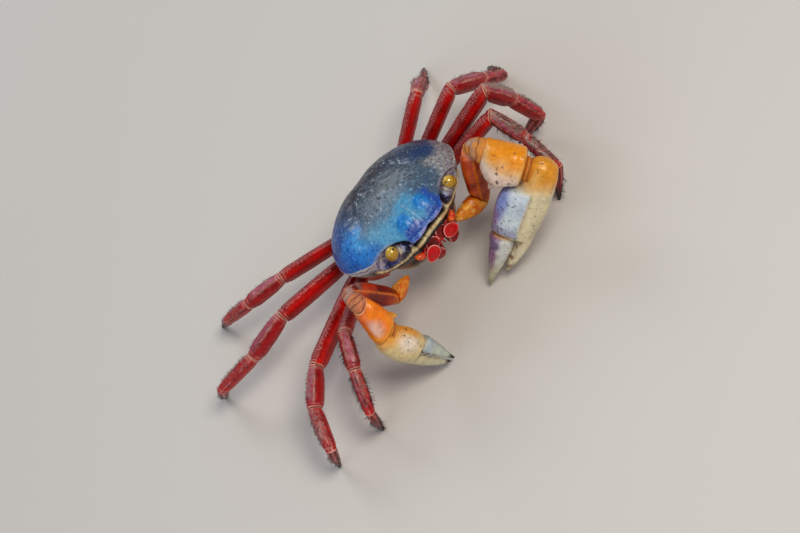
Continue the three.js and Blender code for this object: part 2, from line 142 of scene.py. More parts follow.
# %% [markdown]
# ## The body's own frame
# The crab stands nose up. Shapes of its body are easier to write level, as [to its left,
# forward, up], and are turned and lifted afterwards. The frame gives the place: the shell's
# solid is symmetrical, so its box is as far to the left of the body's middle as to the right.

# %% Level body to standing body
BODY_HEIGHT = 45.2
BODY_PITCH = math.radians(13.9)
SHELL_HIND_REACH = 29.75  # from the body's middle back to the end of the shell's box


def pitched(points):
    """Level [left, forward, up] directions turned to the frame's axes."""
    side, forward, up = np.moveaxis(np.asarray(points, float), -1, 0)
    cos, sin = math.cos(BODY_PITCH), math.sin(BODY_PITCH)
    return np.stack([side, up * sin - forward * cos, forward * sin + up * cos], -1)


shell_low, shell_high = (np.array(corner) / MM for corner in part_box("carapace"))
BODY = np.array([(shell_low[0] + shell_high[0]) / 2, shell_high[1] - SHELL_HIND_REACH, BODY_HEIGHT])


def on_body(points):
    """Level points [left, forward, up] in mm, in the frame."""
    return pitched(points) + BODY


print("body's middle, mm:", BODY.round(2))

# %% [markdown]
# ## The camera
# The view is from above and in front, with the camera turned clockwise round its own line of
# sight, so that the crab's left side rises to the right.

# %% Camera
TURN, RISE, ROLL = (math.radians(a) for a in (-11, 48, 44.76))
DISTANCE = 1000.0
LENS = 92.25
AIM_RIGHT, AIM_UP = 3.3, -28.7  # the middle of the view from the body's middle

back = np.array([math.sin(TURN) * math.cos(RISE), -math.cos(TURN) * math.cos(RISE), math.sin(RISE)])
level_right = np.array([math.cos(TURN), math.sin(TURN), 0])
level_up = np.cross(back, level_right)
view_right = level_right * math.cos(ROLL) - level_up * math.sin(ROLL)
view_up = level_right * math.sin(ROLL) + level_up * math.cos(ROLL)
eye = BODY + back * DISTANCE
sight = eye - (BODY + view_right * AIM_RIGHT + view_up * AIM_UP)
sight = Vector(sight).normalized()
across = (Vector(view_right) - sight * sight.dot(Vector(view_right))).normalized()
camera = bpy.data.objects.new("camera", bpy.data.cameras.new("camera"))
camera.data.lens = LENS
columns = [across, sight.cross(across), sight, Vector(eye * MM)]
camera.matrix_world = Matrix([[*row] for row in zip(*columns)] + [[0, 0, 0, 1]])
camera.data.clip_start = 0.01
SCENE.collection.objects.link(camera)
SCENE.camera = camera
print("camera at", [round(v, 3) for v in camera.location])

# %% [markdown]
# ## Numbers that wander
# A painted cast is never even. `mottle` gives smooth noise whose lumps have a real size in
# millimetres, and the same value at the same place on every run. `ease`, `fall` and `hill` blend
# one colour or height into the next, and `coats` lays thin colours over one another, as an
# airbrush does.

# %% Noise and blends
# large odd numbers that scatter neighbouring points, seeds and sums
SCATTER_X, SCATTER_Y, SCATTER_Z = 73856093, 19349663, 83492791
SCATTER_SEED, SCATTER_SUM = 668265263, 1274126177
LAST_31_BITS = 0x7FFFFFFF


def lattice(cells, seed):
    """A repeatable value from -1 to 1 for each whole-number point."""
    mixed = cells[..., 0] * SCATTER_X ^ cells[..., 1] * SCATTER_Y ^ cells[..., 2] * SCATTER_Z
    mixed = (mixed ^ (seed * SCATTER_SEED)) & LAST_31_BITS
    mixed = ((mixed ^ (mixed >> 13)) * SCATTER_SUM) & LAST_31_BITS
    return (mixed ^ (mixed >> 16)) / (LAST_31_BITS // 2) - 1


def mottle(points, size, seed=0):
    """Smooth noise from -1 to 1 whose lumps are about size mm across."""
    place = np.asarray(points, float) / size
    cell = np.floor(place).astype(np.int64)
    within = place - cell
    within = within * within * (3 - 2 * within)
    total = np.zeros(place.shape[:-1])
    for corner in np.ndindex(2, 2, 2):
        share = np.prod(np.where(corner, within, 1 - within), axis=-1)
        total += share * lattice(cell + corner, seed)
    return total


def ease(value, low, high):
    """0 below low, 1 above high, smooth between them."""
    share = np.clip((value - low) / (high - low), 0, 1)
    return share * share * (3 - 2 * share)


def fall(value, low, high):
    """1 below low, 0 above high, smooth between them."""
    return 1 - ease(value, low, high)


def hill(value, middle, width):
    """1 at the middle, falling to about a third at the width."""
    return np.exp(-(((value - middle) / width) ** 2))


def blend(first, second, share):
    """Two colours, hex or already mixed, blended by a share for each point."""
    first, second = (rgb(tone) if isinstance(tone, str) else tone for tone in (first, second))
    return first + (second - first) * np.clip(np.asarray(share)[..., None], 0, 1)


def coats(paint, *layers):
    """Thin coats laid over a first colour, each with its share."""
    for tone, share in layers:
        paint = blend(paint, tone, share)
    return paint


print("noise check:", round(float(mottle(np.array([[1.0, 2.0, 3.0]]), 2.0)[0]), 4))

# %% [markdown]
# ## Smooth curves and closed skins
# Every plate below is a grid of points: rows along the plate, each a closed ring. A cubic
# curve through few known rows gives as many as a fine surface needs. Relief is a height in
# millimetres for each point, and moves it out along its normal.

# %% Curves and normals
def flow(rows, places, at):
    """Values on a smooth curve through rows that stand at increasing places."""
    rows, places, at = np.asarray(rows, float), np.asarray(places, float), np.asarray(at, float)
    slopes = np.gradient(rows, places, axis=0)
    k = np.clip(np.searchsorted(places, at, side="right") - 1, 0, len(places) - 2)
    width = places[k + 1] - places[k]
    t = (at - places[k]) / width
    shape = (-1,) + (1,) * (rows.ndim - 1)
    t, width = t.reshape(shape), width.reshape(shape)
    start, end = rows[k], rows[k + 1]
    lean = slopes[k] * width * (t**3 - 2 * t**2 + t) + slopes[k + 1] * width * (t**3 - t**2)
    return start * (2 * t**3 - 3 * t**2 + 1) + end * (3 * t**2 - 2 * t**3) + lean


def around(ring, places, total, at):
    """Values on a smooth closed curve through a ring that comes back to its start at total."""
    rows = np.concatenate([ring[-3:], ring, ring[:3]])
    stops = np.concatenate([places[-3:] - total, places, places[:3] + total])
    return flow(rows, stops, at)


def unit(ways):
    """Directions cut or stretched to length 1."""
    return ways / np.linalg.norm(ways, axis=-1, keepdims=True)


def grid_normals(grid):
    """Outward directions of a grid of rings."""
    round_ring = np.roll(grid, -1, 1) - np.roll(grid, 1, 1)
    along = np.gradient(grid, axis=0)
    normal = np.cross(round_ring, along)
    normal /= np.linalg.norm(normal, axis=-1, keepdims=True) + 1e-12
    out = (normal * (grid - grid.mean(1, keepdims=True))).sum()
    return normal if out > 0 else -normal


def swell(grid, heights):
    """A grid moved out along its normals by heights in mm."""
    return grid + grid_normals(grid) * heights[..., None]


print("halfway from 1 to 4 on a curve from 0:", flow([[0], [1], [4]], [0, 1, 2], [1.5])[0, 0])

# %% [markdown]
# A grid becomes a closed mesh with one point at each end, an unwrap that lays each ring out flat,
# and the paint as a colour for each point. A piece is such a mesh with its material and the solids
# it stands for.

# %% Meshes and pieces
PIECES = []


def grid_mesh(name, grid, paint=None, floats=None):
    """A closed mesh through a grid of rings, in mm, with colours and numbers for each point."""
    rows, sides = grid.shape[:2]
    points = np.concatenate([grid.reshape(-1, 3), grid[:1].mean(1), grid[-1:].mean(1)]) * MM
    here = np.arange(rows * sides).reshape(rows, sides)
    beside = np.roll(here, -1, 1)
    quads = np.stack([here[:-1], beside[:-1], beside[1:], here[1:]], -1).reshape(-1, 4)
    first = np.stack([beside[0], here[0], np.full(sides, rows * sides)], -1)
    last = np.stack([here[-1], beside[-1], np.full(sides, rows * sides + 1)], -1)
    mesh = bpy.data.meshes.new(name)
    mesh.from_pydata(points.tolist(), [], quads.tolist() + first.tolist() + last.tolist())
    share = np.stack(np.meshgrid(np.arange(sides) / sides, np.linspace(0, 1, rows)), -1).reshape(-1, 2)
    share = np.concatenate([share, [[0.5, 0]], [[0.5, 1]]])
    corner = np.zeros(len(mesh.loops), np.int32)
    mesh.loops.foreach_get("vertex_index", corner)
    mesh.uv_layers.new(name="unwrap").data.foreach_set("uv", share[corner].astype(np.float32).ravel())
    if paint is not None:
        paint = np.broadcast_to(paint, grid.shape).reshape(-1, 3)
        colours = np.ones((len(points), 4), np.float32)
        colours[:-2, :3] = np.clip(paint, 0, 1)
        colours[-2, :3] = colours[:sides, :3].mean(0)
        colours[-1, :3] = colours[-2 - sides : -2, :3].mean(0)
        layer = mesh.color_attributes.new("paint", "FLOAT_COLOR", "POINT")
        layer.data.foreach_set("color", colours.ravel())
    for key, values in (floats or {}).items():
        kind, field, width = ("FLOAT_VECTOR", "vector", 3) if values.ndim == 3 else ("FLOAT", "value", 1)
        full = np.zeros((len(points), width), np.float32)
        full[:-2] = values.reshape(-1, width)
        mesh.attributes.new(key, kind, "POINT").data.foreach_set(field, full.ravel())
    finish_mesh(mesh)
    return mesh


def finish_mesh(mesh):
    """Faces turned outwards and shaded smooth."""
    shape = bmesh.new()
    shape.from_mesh(mesh)
    if shape.calc_volume(signed=True) < 0:
        bmesh.ops.reverse_faces(shape, faces=shape.faces)
    for face in shape.faces:
        face.smooth = True
    shape.to_mesh(mesh)
    shape.free()


def piece(name, mesh, look, slot, *nodes):
    """An object for a finished mesh, riding on the one body and standing for its solids."""
    made = bpy.data.objects.new(name, mesh)
    SCENE.collection.objects.link(made)
    if look is not None:
        mesh.materials.clear()
        mesh.materials.append(look)
    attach(made, "root")
    if nodes:
        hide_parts(*nodes)
    PIECES.append(made)
    return made


print("pieces so far:", len(PIECES))

# %% [markdown]
# ## Painted shell
# The real plates are chitin hardened with lime, smooth where they rub and granular elsewhere.
# The cast is tinted resin, airbrushed, then sealed with a clear lacquer. So the base colour is
# the piece's own paint attribute broken up by fine noise, the roughness wanders a little, the
# bump is a fine granulation, and the lacquer is the shader's coat. Resin has an IOR near 1.5.

# %% Material for painted plates
def plate_paint(name, roughness, grain, depth, freckle, freckle_size, freckles, coat):
    """Airbrushed resin: grain and freckle_size are in mm, depth is the bump's height in mm."""
    made, tree, shader = material(name, IOR=1.5, Coat_Weight=coat, Coat_Roughness=0.12)
    place = add(tree, "ShaderNodeTexCoord").outputs["Object"]
    colour = add(tree, "ShaderNodeAttribute", attribute_name="paint")
    cloud = add(tree, "ShaderNodeTexNoise", Vector=place, Scale=1 / (2.4 * MM), Detail=4.0, Roughness=0.6)
    shade = add(tree, "ShaderNodeMapRange", Value=cloud, From_Min=0.3, From_Max=0.7, To_Min=0.84,
                To_Max=1.14)
    worn = add(tree, "ShaderNodeVectorMath", operation="SCALE", _0=colour, Scale=shade)
    speck = add(tree, "ShaderNodeTexNoise", Vector=place, Scale=1 / (freckle_size * MM), Detail=2.0)
    dot = add(tree, "ShaderNodeMapRange", Value=speck, From_Min=0.62, From_Max=0.7,
              To_Min=0.0, To_Max=freckles)
    mixed = add(tree, "ShaderNodeMix", data_type="RGBA", _0=dot, _6=worn, _7=(*rgb(freckle), 1))
    tree.links.new(mixed.outputs[2], shader.inputs["Base Color"])
    rough = add(tree, "ShaderNodeMapRange", Value=cloud, From_Min=0.3, From_Max=0.7,
                To_Min=roughness * 0.8, To_Max=roughness * 1.25)
    tree.links.new(rough.outputs[0], shader.inputs["Roughness"])
    granule = add(tree, "ShaderNodeTexVoronoi", Vector=place, Scale=1 / (grain * MM))
    pebble = add(tree, "ShaderNodeMapRange", Value=granule, From_Min=0.0, From_Max=0.7,
                 To_Min=1.0, To_Max=0.0)
    height = add(tree, "ShaderNodeMath", operation="ADD", _0=pebble, _1=speck)
    bump = add(tree, "ShaderNodeBump", Height=height, Strength=0.5, Distance=depth * MM)
    tree.links.new(bump.outputs[0], shader.inputs["Normal"])
    return made


SHELL_PAINT = plate_paint("lacquered_shell_resin", 0.42, 0.6, 0.07, "#b9c4d2", 1.1, 0.3, coat=0.22)
LEG_PAINT = plate_paint("airbrushed_leg_resin", 0.38, 0.6, 0.05, "#4a0f10", 0.9, 0.25, coat=0.15)
CLAW_PAINT = plate_paint("airbrushed_claw_resin", 0.34, 0.8, 0.04, "#3b2530", 1.0, 0.3, coat=0.25)
print("materials:", [m.name for m in bpy.data.materials])

# %% [markdown]
# ## The back of the shell
# Seen from above the carapace is a wide oval with a blunt front between the eyes. Its dome
# rises in rings inside that outline and its side wall turns in below it, so a grid of rings is
# the natural mesh.

# %% Outline, dome and side wall
SHELL_HALF = 40.0
SHELL_TOP = 17.0
SKIRT_FOOT = -13.6
# left half of the outline from front to back, as shares of half the width
OUTLINE = [
    (0, 0.81), (0.2, 0.8), (0.375, 0.735), (0.6, 0.6375), (0.825, 0.515), (0.95, 0.3125),
    (1, 0.0625), (0.965, -0.2125), (0.835, -0.475), (0.6125, -0.675), (0.35, -0.78), (0, -0.765),
]
# share of the drop, then shares of the outline at the flanks, at the face and behind
SKIRT = [(0, 1, 1, 1), (0.28, 0.95, 0.97, 0.95), (0.62, 0.81, 0.95, 0.86), (1, 0.62, 0.86, 0.78)]
SHELL_SIDES = 440
DOME_ROWS = 118
SKIRT_ROWS = 48
CROWN_HOLE = 1.2  # degrees from the top at which the rings start
FINE_STEPS = 4000


def shell_outline(count):
    """Points [left, forward] round the outline, twice as close together at the front."""
    half = np.array(OUTLINE) * SHELL_HALF
    ring = np.concatenate([half, (half[1:-1] * [-1, 1])[::-1]])
    gaps = np.linalg.norm(np.roll(ring, -1, 0) - ring, axis=1)
    places = np.concatenate([[0], np.cumsum(gaps)[:-1]])
    fine = around(ring, places, gaps.sum(), np.linspace(0, gaps.sum(), FINE_STEPS, endpoint=False))
    pace = 1 + 1.6 * ease(fine[:, 1], 6, 16)
    walked = np.cumsum(pace) / pace.sum()
    pick = np.interp(np.arange(count) / count, walked, np.arange(FINE_STEPS))
    return fine[pick.astype(int)]


outline = shell_outline(SHELL_SIDES)
edge_up = -0.6 + 0.115 * outline[:, 1]
dome_turn = np.radians(np.linspace(CROWN_HOLE, 90, DOME_ROWS))[:, None]
# the powers flatten the crown and round the shoulder
spread, rise = np.sin(dome_turn) ** 0.86, np.cos(dome_turn) ** 1.15
dome = np.stack([outline[:, 0] * spread, outline[:, 1] * spread,
                 edge_up + (SHELL_TOP - edge_up) * rise], -1)
drops = np.linspace(0, 1, SKIRT_ROWS + 1)[1:]
flank, face, behind = flow(np.array(SKIRT)[:, 1:], np.array(SKIRT)[:, 0], drops).T[:, :, None]
skirt = np.stack([outline[:, 0] * flank,
                  outline[:, 1] * np.where(outline[:, 1] > 0, face, behind),
                  edge_up + (SKIRT_FOOT - edge_up) * drops[:, None]], -1)
shell = np.concatenate([dome, skirt])
# share of the drop down the side wall, and degrees from the top on the dome, of each point
on_skirt = np.concatenate([np.zeros(DOME_ROWS), drops])[:, None] * np.ones(SHELL_SIDES)
on_dome = np.pad(np.degrees(dome_turn[:, 0]), (0, SKIRT_ROWS), mode="edge")
on_dome = on_dome[:, None] * np.ones(SHELL_SIDES)
print("shell grid:", shell.shape[:2], "size in mm:", np.ptp(shell, (0, 1)).round(1))

# %% [markdown]
# ## Relief of the back
# The regions of the back are the floors over the stomach, the gills and the heart. They swell a
# little and shallow grooves part them. Each is one term in a sum over [left, forward].

# %% Swellings and grooves
side, forward, up = np.moveaxis(shell, -1, 0)
wide = np.abs(side)
fork = ease(forward, 15, 21) * fall(forward, 30, 32)
waver = 1.2 * mottle(shell, 5.0, 7)
relief = (
    -0.28 * hill(wide + 0.3 * waver, 0, 0.7) * fork
    - 0.3 * hill(wide + waver, 1.5 + 0.6 * (15 - forward), 1.6)
    * ease(forward, 3, 9) * fall(forward, 13, 17)
    + 1.2 * hill(wide, 6.8, 4.4) * hill(forward, 28.5, 4.5)
    + 1.0 * hill(wide, 28, 9) * hill(forward, 2, 14)
    - 0.42 * hill(wide + waver, 15 + 0.35 * (forward + 2), 3.0)
    * ease(forward, -10, -2) * fall(forward, 8, 16)
    - 0.3 * hill(wide + waver, 6.5 + 0.1 * (forward + 12), 2.4) * hill(forward, -10, 6)
    + 0.4 * hill(wide, 0, 5) * hill(forward, -14, 6)
    - 0.7 * hill(wide + 0.5 * waver, 26 - 0.3 * (forward - 14), 1.7) * hill(forward, 17, 4)
)
relief *= 1 - on_skirt
level_normal = grid_normals(shell)
lip = fall(wide, 10.5, 14) * (forward > 0)
relief += 0.35 * hill(on_dome, 88.5, 1.6) * (on_skirt == 0) * (0.4 + 0.6 * ease(forward, -8, 6))
relief -= 0.3 * hill(on_dome, 82.5, 2.6) * lip * ease(wide, 0.5, 2.5)
relief += 0.09 * mottle(shell, 2.6, 3) + 0.07 * mottle(shell, 1.2, 4) + 0.04 * mottle(shell, 0.6, 5)
shell = shell + level_normal * relief[..., None]
print("relief from", relief.min().round(2), "to", relief.max().round(2), "mm")

# %% [markdown]
# The lip hangs a little between the eyes, with a notch in the middle. The face under it steps
# back, down to the ridge that borders the mouth.

# %% Front lip
hang = lip * ease(on_dome, 66, 88) * fall(on_skirt, 0.0, 0.1)
shell[..., 2] -= 1.8 * hang * (1 - 0.3 * hill(wide, 0, 2.0))
shell[..., 1] += 1.9 * hang * (1 - 0.25 * hill(wide, 0, 2.0))
up = shell[..., 2]
LIP_UP = 0.4
RIDGE_UP = -3.7
ridge_up = RIDGE_UP - 2.5 * ease(wide, 4, 15)
under = lip * ease(LIP_UP - up, 0.2, 1.0) * ease(up - ridge_up, 0.9, 1.8)
shell[..., 1] -= 3.2 * under
print("points under the lip:", int((under > 0.5).sum()))

# %% [markdown]
# ## Orbits and mouth
# The eyes lie in sockets, and the mouthparts in a hollow of the face. Cutting them out would
# need a boolean and spoil the grid. Instead, a point that lies inside a socket's ellipsoid
# slides back along one direction until it meets the far side, and its rim is raised and beaded.

# %% Sockets, their rims and the ridge
SIDES = {"left": 1, "right": -1}  # the animal's own sides, counted to its left
SOCKETS = {"left": [22.8, 28.4, -1.0], "right": [-21.6, 27.8, 0.2]}
SOCKET_HALF = np.array([11.6, 7.0, 7.4])
MOUTH_CENTRE, MOUTH_HALF = np.array([0, 30.0, -14.4]), np.array([16.4, 9.0, 7.8])
BEAD_SPACING = 1.6


def press(points, centre, axes, half, inward, soften):
    """Slide what lies inside an ellipsoid inward to its far side. Also gives distances and places."""
    place = ((points - centre) @ np.array(axes).T) / half
    away = np.linalg.norm(place, axis=-1)
    slide = (np.array(axes) @ inward) / half
    a, b = slide @ slide, (place @ slide)
    reach = (-b + np.sqrt(np.maximum(b * b - a * (away**2 - 1), 0))) / a
    share = ease(1 - away, 0, soften)
    return points + inward * (reach * share)[..., None], away, place


def socket_axes(sign):
    """Along an orbit, up, and out of it."""
    run = unit(np.array([sign, -0.5, 0.02]))
    tall = np.array([0, 0, 1.0])
    return [run, tall, np.cross(run, tall)]


orbit, orbit_rim, lower_rim = np.zeros((3, *shell.shape[:2]))
for name, sign in SIDES.items():
    inward = np.array([-0.25 * sign, -0.95, -0.1])
    shell, away, place = press(shell, SOCKETS[name], socket_axes(sign), SOCKET_HALF, inward, 0.14)
    near = np.sign(shell[..., 0]) == sign
    ahead = near * ease(forward, 8, 14)
    orbit = np.maximum(orbit, near * fall(away, 0.86, 1.0))
    orbit_rim = np.maximum(orbit_rim, ahead * hill(away, 1.06, 0.09))
    lower_rim = np.maximum(lower_rim, ahead * hill(away, 1.08, 0.1) * ease(-place[..., 1], -0.1, 0.25))
shell, mouth_away, _ = press(shell, MOUTH_CENTRE, np.eye(3), MOUTH_HALF, np.array([0, -1.0, 0]), 0.08)
mouth = fall(mouth_away, 0.9, 1.0)
middle_rim = hill(shell[..., 2], ridge_up + 0.1, 1.0 - 0.25 * ease(wide, 6, 14))
middle_rim = middle_rim * fall(wide, 12, 16) * (forward > 20)
ridge = np.maximum(lower_rim, middle_rim) * (1 - mouth)
beads = 0.85 + 0.15 * np.sin(side * 2 * math.pi / BEAD_SPACING + 2.0 * mottle(shell, 3.0, 9))
beads = beads + 0.25 * mottle(shell, 1.8, 42)
pimples = orbit * (0.14 * mottle(shell, 0.9, 37) + 0.1 * mottle(shell, 2.0, 38))
shell = shell + level_normal * (0.75 * ridge * beads + 0.2 * orbit_rim * (1 - ridge) + pimples)[..., None]
print("orbit points:", int((orbit > 0.5).sum()), "mouth points:", int((mouth > 0.5).sum()))

# %% [markdown]
# ## Colours of the back
# The back is airbrushed wet in wet: a blue-grey middle, royal blue over the gills on the right,
# deep navy on the left, azure lobes behind the front lip and a hind slope painted nearly black as shade.
# Below, `s` and `f` are the distances to the left and forward, made to wander.

# %% Fields of blue
wander = 2.6 * mottle(shell, 7.0, 11) + 1.2 * mottle(shell, 2.4, 12)
wide_wander = 4.5 * mottle(shell, 11.0, 26) * ease(-forward, -6, 6)
s, f = side + wander + wide_wander, forward + 0.8 * wander
grain = 0.6 * mottle(shell, 1.0, 13) + 0.4 * mottle(shell, 0.55, 14)
flank = np.maximum(ease(s, 20, 27) * ease(f, 11, 16), 0.85 * ease(s, 33, 36.5) * ease(f, -8, 4))
paint = coats("#485a6e",
    ("#6d7169", 0.6 * hill(s, 3, 12) * hill(f, 8, 8)),
    # the nearly black hind slope is painted shade, with a purple-brown mottle over it
    ("#23222e", 0.94 * ease(-f, -5, 12)),
    ("#3a2a34", 0.6 * ease(-f, -2, 8) * ease(mottle(shell, 4.0, 24), -0.1, 0.5)),
    ("#6f90a4", 0.6 * hill(s, -3, 14) * hill(f, 17, 8)),
    ("#4fa0cc", 0.85 * ease(f, 18, 24) * fall(np.abs(s + 8), 12, 20)),
    ("#6fb0d4", 0.7 * hill(s, -17, 7) * hill(f, 21, 5)),
    ("#1476cc", ease(-s, 19, 27) * ease(f, -4, 6)),
    ("#0b4fb4", 0.8 * ease(-s, 22, 28) * ease(mottle(shell, 5.0, 25), 0.0, 0.6)),
    # a painted highlight: the bright pale azure spot on the right front flank
    ("#62b8ee", 0.75 * hill(s, -25, 5) * hill(f, 12, 7)),
    ("#0a4c98", ease(-s, 11, 29) * ease(-f, -4, 5)),
    ("#0f62b4", 0.8 * ease(-s, 32, 37)),
    ("#0b3a70", 0.95 * ease(s, 17 - 6 * ease(-f, -2, 8), 27) * fall(f, 9, 15)),
    ("#051f44", 0.85 * hill(s, 28, 8) * hill(f, -3, 9)),
    ("#989494", 0.95 * flank),
    ("#c4c0c6", 0.6 * flank * ease(grain, 0.05, 0.4)),
    ("#343040", 0.75 * flank * ease(mottle(shell, 0.8, 16), 0.2, 0.5)),
)
print("mean colour of the fields:", paint.mean((0, 1)).round(3))

# %% [markdown]
# Two azure lobes and a royal blue line lie behind the front lip, whose edge is violet. Pale
# flecks and scratches cross the middle, where a real crab is rubbed by its burrow. The flecks, and
# the pale specks on the azure parts, are partly painted glints of the wet grain.

# %% Lobes, lip, flecks and scratches
lobes = hill(wide + 0.4 * wander, 6.6, 4.4) * hill(forward, 28.4, 3.6)
royal = ease(forward + 0.14 * np.abs(side - 2) + 0.35 * wander, 31.0, 32.2) * lip * (1 - on_skirt)
furrow = hill(side + 0.7 * mottle(shell, 3.0, 18), 0, 0.6) * fork
worn = ease(grain + 0.35 * mottle(shell, 4.0, 15), 0.12, 0.5)
worn = worn * fall(np.abs(s - 2), 16, 26) * fall(f, 18, 24)
pitted = ease(-grain, 0.08, 0.45) * (1 - 0.85 * ease(-s, 15, 22)) * fall(f, 12, 20)
fleck = mottle(shell * [1.0, 0.45, 1.0], 1.1, 21) + 0.5 * mottle(shell, 0.6, 22)
slanted = shell @ np.array([[0.8, -0.6, 0], [0.6, 0.8, 0], [0, 0, 1]])
scratch = mottle(slanted * [0.2, 1.6, 0.6], 1.0, 23)
rubbed_and_glinting = fall(wide, 18, 30) * fall(f, 10, 20)
azure = ease(f, 14, 20) + ease(-s, 18, 26)
paint = coats(paint,
    ("#0a80cc", 0.95 * ease(lobes, 0.2, 0.7)),
    ("#1a3fa0", 0.9 * royal),
    ("#6a7fc4", 0.5 * royal * ease(mottle(shell, 0.9, 17), 0.15, 0.5)),
    ("#0f55c0", 0.8 * hill(s, 12.4, 2.8) * ease(f, 23, 27)),
    ("#a9bccb", 0.55 * furrow * ease(mottle(shell, 1.3, 19), -0.5, 0.2)),
    ("#8f84c4", 0.85 * ease(on_dome, 86.5, 88.5) * fall(on_skirt, 0.02, 0.09) * lip),
    ("#c8bfe2", 0.8 * hill(on_dome + 60 * on_skirt, 91.5, 1.0) * lip),
    ("#8c99a6", 0.36 * worn),
    ("#141a26", 0.6 * pitted * (1 - 0.6 * ease(wide, 20, 30))),
    # pale flecks: partly wear, partly painted glints of the wet grain
    ("#c3ced9", 0.75 * ease(fleck, 0.74, 1.0) * (0.3 + 0.7 * rubbed_and_glinting) * fall(f, 17, 24)),
    ("#b4bac8", 0.7 * ease(scratch, 0.6, 0.78) * rubbed_and_glinting),
    # pale azure specks: partly grain, partly painted glints
    ("#8fd0f4", 0.5 * ease(grain, 0.3, 0.7) * azure),
    ("#063a80", 0.6 * ease(-grain, 0.15, 0.5) * ease(-s, 18, 26)),
    ("#0a5c9c", 0.4 * ease(-grain, 0.15, 0.5) * ease(f, 16, 22) * fall(-s, 18, 24)),
)
print("share of the back worn:", worn.mean().round(3), "scratched:", (scratch > 0.6).mean().round(3))

# %% [markdown]
# Under the margin of the right flank the cheek is beige, with wrinkled purple lines. A pale line
# follows both margins. The side wall is a cream band at the flanks. Over the face it is dark with setae,
# painted darker still as the shade under the ridge.

# %% Margins and side wall
margin_at = 85.5 - 8 * ease(forward, 2, 17)
cheek = ease(on_dome, margin_at - 0.8, margin_at + 0.7) * ease(-side, 17, 21)
cheek = cheek * ease(forward, -16, -4) * (on_skirt == 0)
creased = ease(np.sin(on_dome * 0.95 + 3.0 * mottle(shell, 3.2, 27)), 0.0, 1.0)
creased = creased * ease(mottle(shell, 1.4, 28), -0.7, 0.3)
cream = coats("#cdbfae",
    ("#7d646a", ease(np.sin(on_skirt * 52 + 1.4 * wander), -0.2, 1.0)),
    ("#b5654c", ease(on_skirt + 0.05 * wander, 0.4, 0.9)),
)
hair_and_shade = blend("#130b12", "#2c1c26", 0.5 + 0.8 * mottle(shell, 0.8, 34))
hairy_and_shaded = ease(on_skirt, 0.06, 0.16) * ease(forward, 15, 20) * (1 - orbit)
paint = coats(paint,
    (blend("#c4b8ae", "#6f5c70", creased), 0.9 * cheek),
    ("#dfe2ea", 0.7 * hill(on_dome, margin_at, 0.9) * ease(-side, 17, 21) * ease(forward, -16, -4)),
    ("#d5d8e2", 0.6 * hill(on_dome, 87.5, 0.9) * ease(side, 20, 26) * ease(forward, -8, 4)),
    (cream, ease(on_skirt, 0.02, 0.1)),
    ("#cfc6ba", 0.7 * hill(on_dome + 30 * on_skirt, 90.2, 1.1) * ease(forward, -20, 4) * (1 - lip)),
    # dark setae over the face, with painted shade under the ridge
    (hair_and_shade, hairy_and_shaded),
)
print("share of cheek:", cheek.mean().round(3), "share of dark hair:", hairy_and_shaded.mean().round(3))

# %% [markdown]
# The floors of the orbits are lilac with a blue streak, pebbled where the eye rubs them, and painted
# near-black as shade towards their inner ends and in their outer corners. The ridge under them is a
# row of ivory beads with dark joints. The step under the lip and the hollow of the mouth are painted
# nearly black as shade.

# %% Orbit floors, ridge and mouth
JOINT_SPACING = 5.6  # mm between the dark joints of the ridge
mix = ease(mottle(shell, 1.7, 31) + 0.4 * mottle(shell, 0.8, 32), -0.15, 0.35)
deep_in = ease(-2.2 - up + 1.2 * mottle(shell, 2.0, 36), -0.6, 1.2)
pebbles = mottle(shell, 0.75, 37) + 0.5 * mottle(shell, 1.6, 38)
orbit_floor = coats("#bcb0b4",
    ("#8d86ae", mix),
    ("#2a3f9c", 0.9 * deep_in * ease(wide, 21, 24) * fall(wide, 28, 31) * ease(-side, -8, 6)),
    ("#a8a0bc", 0.6 * ease(side, 24, 28)),
    # painted shade: near-black towards the inner end and in the outer corner of each orbit
    ("#14102c", ease(19.5 - wide, -1, 4) + 0.8 * hill(wide, 31.5, 1.3) * hill(up, -2.5, 1.2)),
    ("#7f9fd2", 0.7 * ease(mottle(shell, 1.5, 35), 0.25, 0.5) * ease(20 - wide, -2, 3)),
    ("#3a3458", 0.7 * ease(-pebbles, 0.05, 0.5)),
    ("#d9d2cc", 0.5 * ease(pebbles, 0.25, 0.7) * ease(wide, 22, 26)),
)
joint_at = np.abs((side + 1.3 * mottle(shell, 5.0, 43) + 2.2) % JOINT_SPACING - JOINT_SPACING / 2)
joint_dark = fall(joint_at, 0.08, 0.3) * fall(wide, 16, 20) * ease(mottle(shell, 1.1, 45), -0.5, 0.1)
ivory = coats("#efe0ae",
    ("#cdb98c", 0.5 + 0.6 * mottle(shell, 1.2, 41)),
    ("#c49a6a", 0.7 * ease(mottle(shell, 2.6, 44), 0.0, 0.5)),
    ("#3a2018", 0.85 * joint_dark),
)
paint = coats(paint,
    (orbit_floor, orbit),
    # painted shade in the step under the lip
    ("#120b1c", under),
    ("#a39aa6", 0.6 * orbit_rim * fall(on_skirt, 0.0, 0.3) * ease(wide, 15, 20)),
    (ivory, ease(ridge, 0.22, 0.42)),
    # painted shade in the hollow of the mouth
    ("#1d0809", mouth),
)
shell_mesh = grid_mesh("carapace_shell", on_body(shell), paint)
shell_piece = piece("carapace_shell", shell_mesh, SHELL_PAINT, "shell_blue", "carapace")
print("shell faces:", len(shell_piece.data.polygons))

# %% [markdown]
# ## Reading a solid's rings
# Every other solid of the frame was lofted: its points lie in rings between two hubs, the only
# points where many edges meet. Walking outwards from one hub gives the rings back in order, and
# a smooth surface through them keeps each piece exactly where its solid is.

